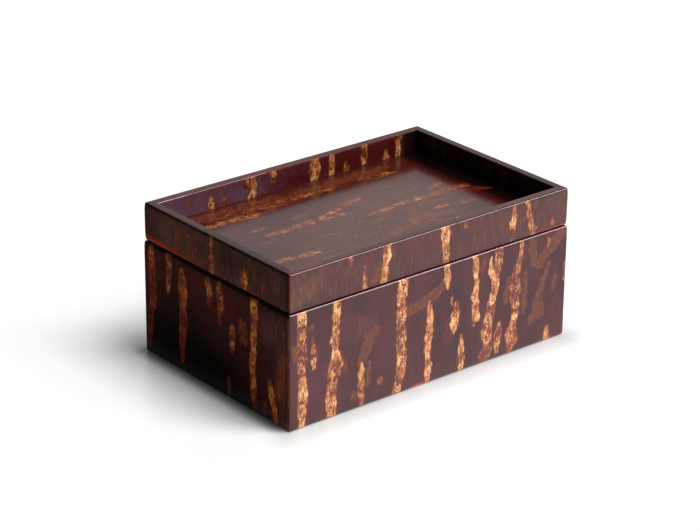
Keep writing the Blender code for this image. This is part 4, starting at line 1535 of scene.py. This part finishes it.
@dataclass
class Studio:
    """The white floor, the lamps, the pale surroundings and the camera.

    Attributes:
        azimuth: The camera's turn about the box, in degrees, from straight in front to the right.
        elevation: Its height above the horizon, in degrees.
        roll: Its tilt, in degrees.
        distance: From the camera to the point it looks at.
        target: That point.
        lens: Its focal length in millimetres, on a sensor 36 mm wide.
        half_floor: Half the floor's width.
        lift: Light that the floor gives the camera by itself, so that it stays white.
        right_lift: More of it, to the right of the box: painted light, which hides the box's shadow there.
        sheen: Share of the floor's faint mirror image of the box.
        lamps: The lamps.
    """

    azimuth: float = -39.778
    elevation: float = 23.305
    roll: float = 0.605
    distance: float = 1.39403
    target: Triple = (-0.005389, 0.0, 0.048831)
    lens: float = 128.23
    half_floor: float = 6.0
    lift: float = 0.18
    right_lift: float = 0.16
    sheen: float = 0.18
    lamps: tuple[Lamp, ...] = (
        Lamp("key", (0.211, -0.351, 0.915), 30.0, 0.90),
        Lamp("fill", (0.49, -0.605, 0.62), 28.0, 0.19, lights=Light.COLOUR),
        Lamp("edge", (0.587, -0.56, 0.585), 20.0, 0.36, (0.86, 0.93, 1.0), Light.POLISH),
    )

    def camera(self) -> None:
        """Stand the camera where the photograph was taken from."""
        angles = (self.azimuth, self.elevation, self.roll)
        azimuth, elevation, roll = (math.radians(angle) for angle in angles)
        level = math.cos(elevation)
        back = Vector((math.sin(azimuth) * level, -math.cos(azimuth) * level, math.sin(elevation)))
        right = Vector((0, 0, 1)).cross(back).normalized()
        up = back.cross(right)
        tilted_right = right * math.cos(roll) + up * math.sin(roll)
        tilted_up = up * math.cos(roll) - right * math.sin(roll)
        data = bpy.data.cameras.new("camera")
        data.lens = self.lens
        data.sensor_width = 36.0
        made = shown_object("camera", data)
        turn = Matrix((tilted_right, tilted_up, back)).transposed().to_4x4()
        made.matrix_world = Matrix.Translation(Vector(self.target) + back * self.distance) @ turn
        bpy.context.scene.camera = made

    def paper(self) -> bpy.types.Material:
        """Make the floor's white, with a painted soft shadow round the box's base and painted light right of
        the box, for the camera alone.
        """
        made = bpy.data.materials.new("white_floor")
        bench = Bench(made)
        seen, glossy = bench.rays("Camera", "Glossy")
        across, deep, _ = bench.split(bench.place())
        beside = (abs(across) - PLAN.length / 2).most(0.0)
        before = (abs(deep) - PLAN.width / 2).most(0.0)
        away = (beside * beside + before * before).root()
        # painted shadow on the floor: softly darker round the box's base, more in front of it, and darker
        # still close beside its left side
        painted_contact_shadow = away.rise(0.022, 0.0) * ((across * 0.3 - deep).rise(0.02, 0.05) * 0.25 + 0.12)
        dark = away.rise(0.010, 0.0) * across.rise(-0.085, -0.1) * deep.rise(-0.070, -0.052) * 0.70
        painted_contact_shadow = (painted_contact_shadow + dark) * seen
        tint = bench.mix(glossy, (0.9, 0.9, 0.9), (0.90, 0.89, 1.0))
        tint = bench.mix(painted_contact_shadow, tint, (0.0, 0.0, 0.0))
        paper = bench.node("ShaderNodeBsdfDiffuse", {}, {"Color": tint})
        # right of the box, painted light hides its shadow on the floor
        strength = seen * (1.0 - painted_contact_shadow) * (across.rise(0.097, 0.104) * self.right_lift + self.lift)
        lift = bench.node("ShaderNodeEmission", {}, {"Strength": strength})
        lifted = bench.node("ShaderNodeAddShader", {}, {0: paper.outputs[0], 1: lift.outputs[0]})
        sheen = bench.node("ShaderNodeBsdfGlossy", {}, {"Color": (1.0, 1.0, 1.0, 1.0), "Roughness": 0.30})
        polished = bench.node("ShaderNodeMixShader", {}, {
            0: seen * self.sheen, 1: lifted.outputs[0], 2: sheen.outputs[0]})
        shade = bench.node("ShaderNodeBsdfDiffuse", {}, {"Color": (0.02, 0.02, 0.02, 1.0)})
        left = glossy * across.rise(-0.085, -0.115)
        whole = bench.node("ShaderNodeMixShader", {}, {0: left, 1: polished.outputs[0], 2: shade.outputs[0]})
        bench.surface(whole)
        return made

    def floor(self) -> None:
        """Lay a wide white floor that keeps the box's shadow."""
        bm = bmesh.new()
        bmesh.ops.create_grid(bm, x_segments=1, y_segments=1, size=self.half_floor)
        mesh = meshed("floor", bm)
        mesh.materials.append(self.paper())
        shown_object("floor", mesh)

    def surroundings(self) -> None:
        """White for the camera, a pale low band for the polish, and a little even light."""
        world = bpy.data.worlds.new("World")
        bpy.context.scene.world = world
        bench = Bench(world)
        seen, glossy, through = bench.rays("Camera", "Glossy", "Transmission")
        mirrored = glossy.most(through)
        way = bench.node("ShaderNodeTexCoord", {}, {})
        x, y, z = bench.split(way.outputs["Generated"])
        band = z.rise(0.62, 0.40) * (x + y * 0.2).rise(0.0, 0.55)
        strength = seen + (1.0 - seen) * (mirrored * (band * 0.62 + 0.012) + (1.0 - mirrored) * 0.05)
        sky = bench.node("ShaderNodeBackground", {}, {"Color": (1.0, 1.0, 1.0, 1.0), "Strength": strength})
        bench.surface(sky)

    def build(self, faces: bpy.types.Collection) -> None:
        """Set up everything round the box, given the faces that the edge lamp may reach."""
        bpy.context.scene.view_settings.view_transform = "Standard"
        self.camera()
        self.floor()
        self.surroundings()
        for lamp in self.lamps:
            lamp.hang(faces)


def main() -> None:
    """Build the studio and both halves of the box."""
    logging.basicConfig(level=logging.INFO, format="%(message)s")
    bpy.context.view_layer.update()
    finishes = Finishes.made()
    faces = bpy.data.collections.new("edge_lamp_faces")
    for part in (BodyBox(finishes), TrayLid(finishes)):
        for piece in part.build():
            made = piece.dress()
            if not {"floor", "rim"} & set(piece.node.split("_")):
                faces.objects.link(made)
    Studio().build(faces)


if __name__ == "__main__":
    main()
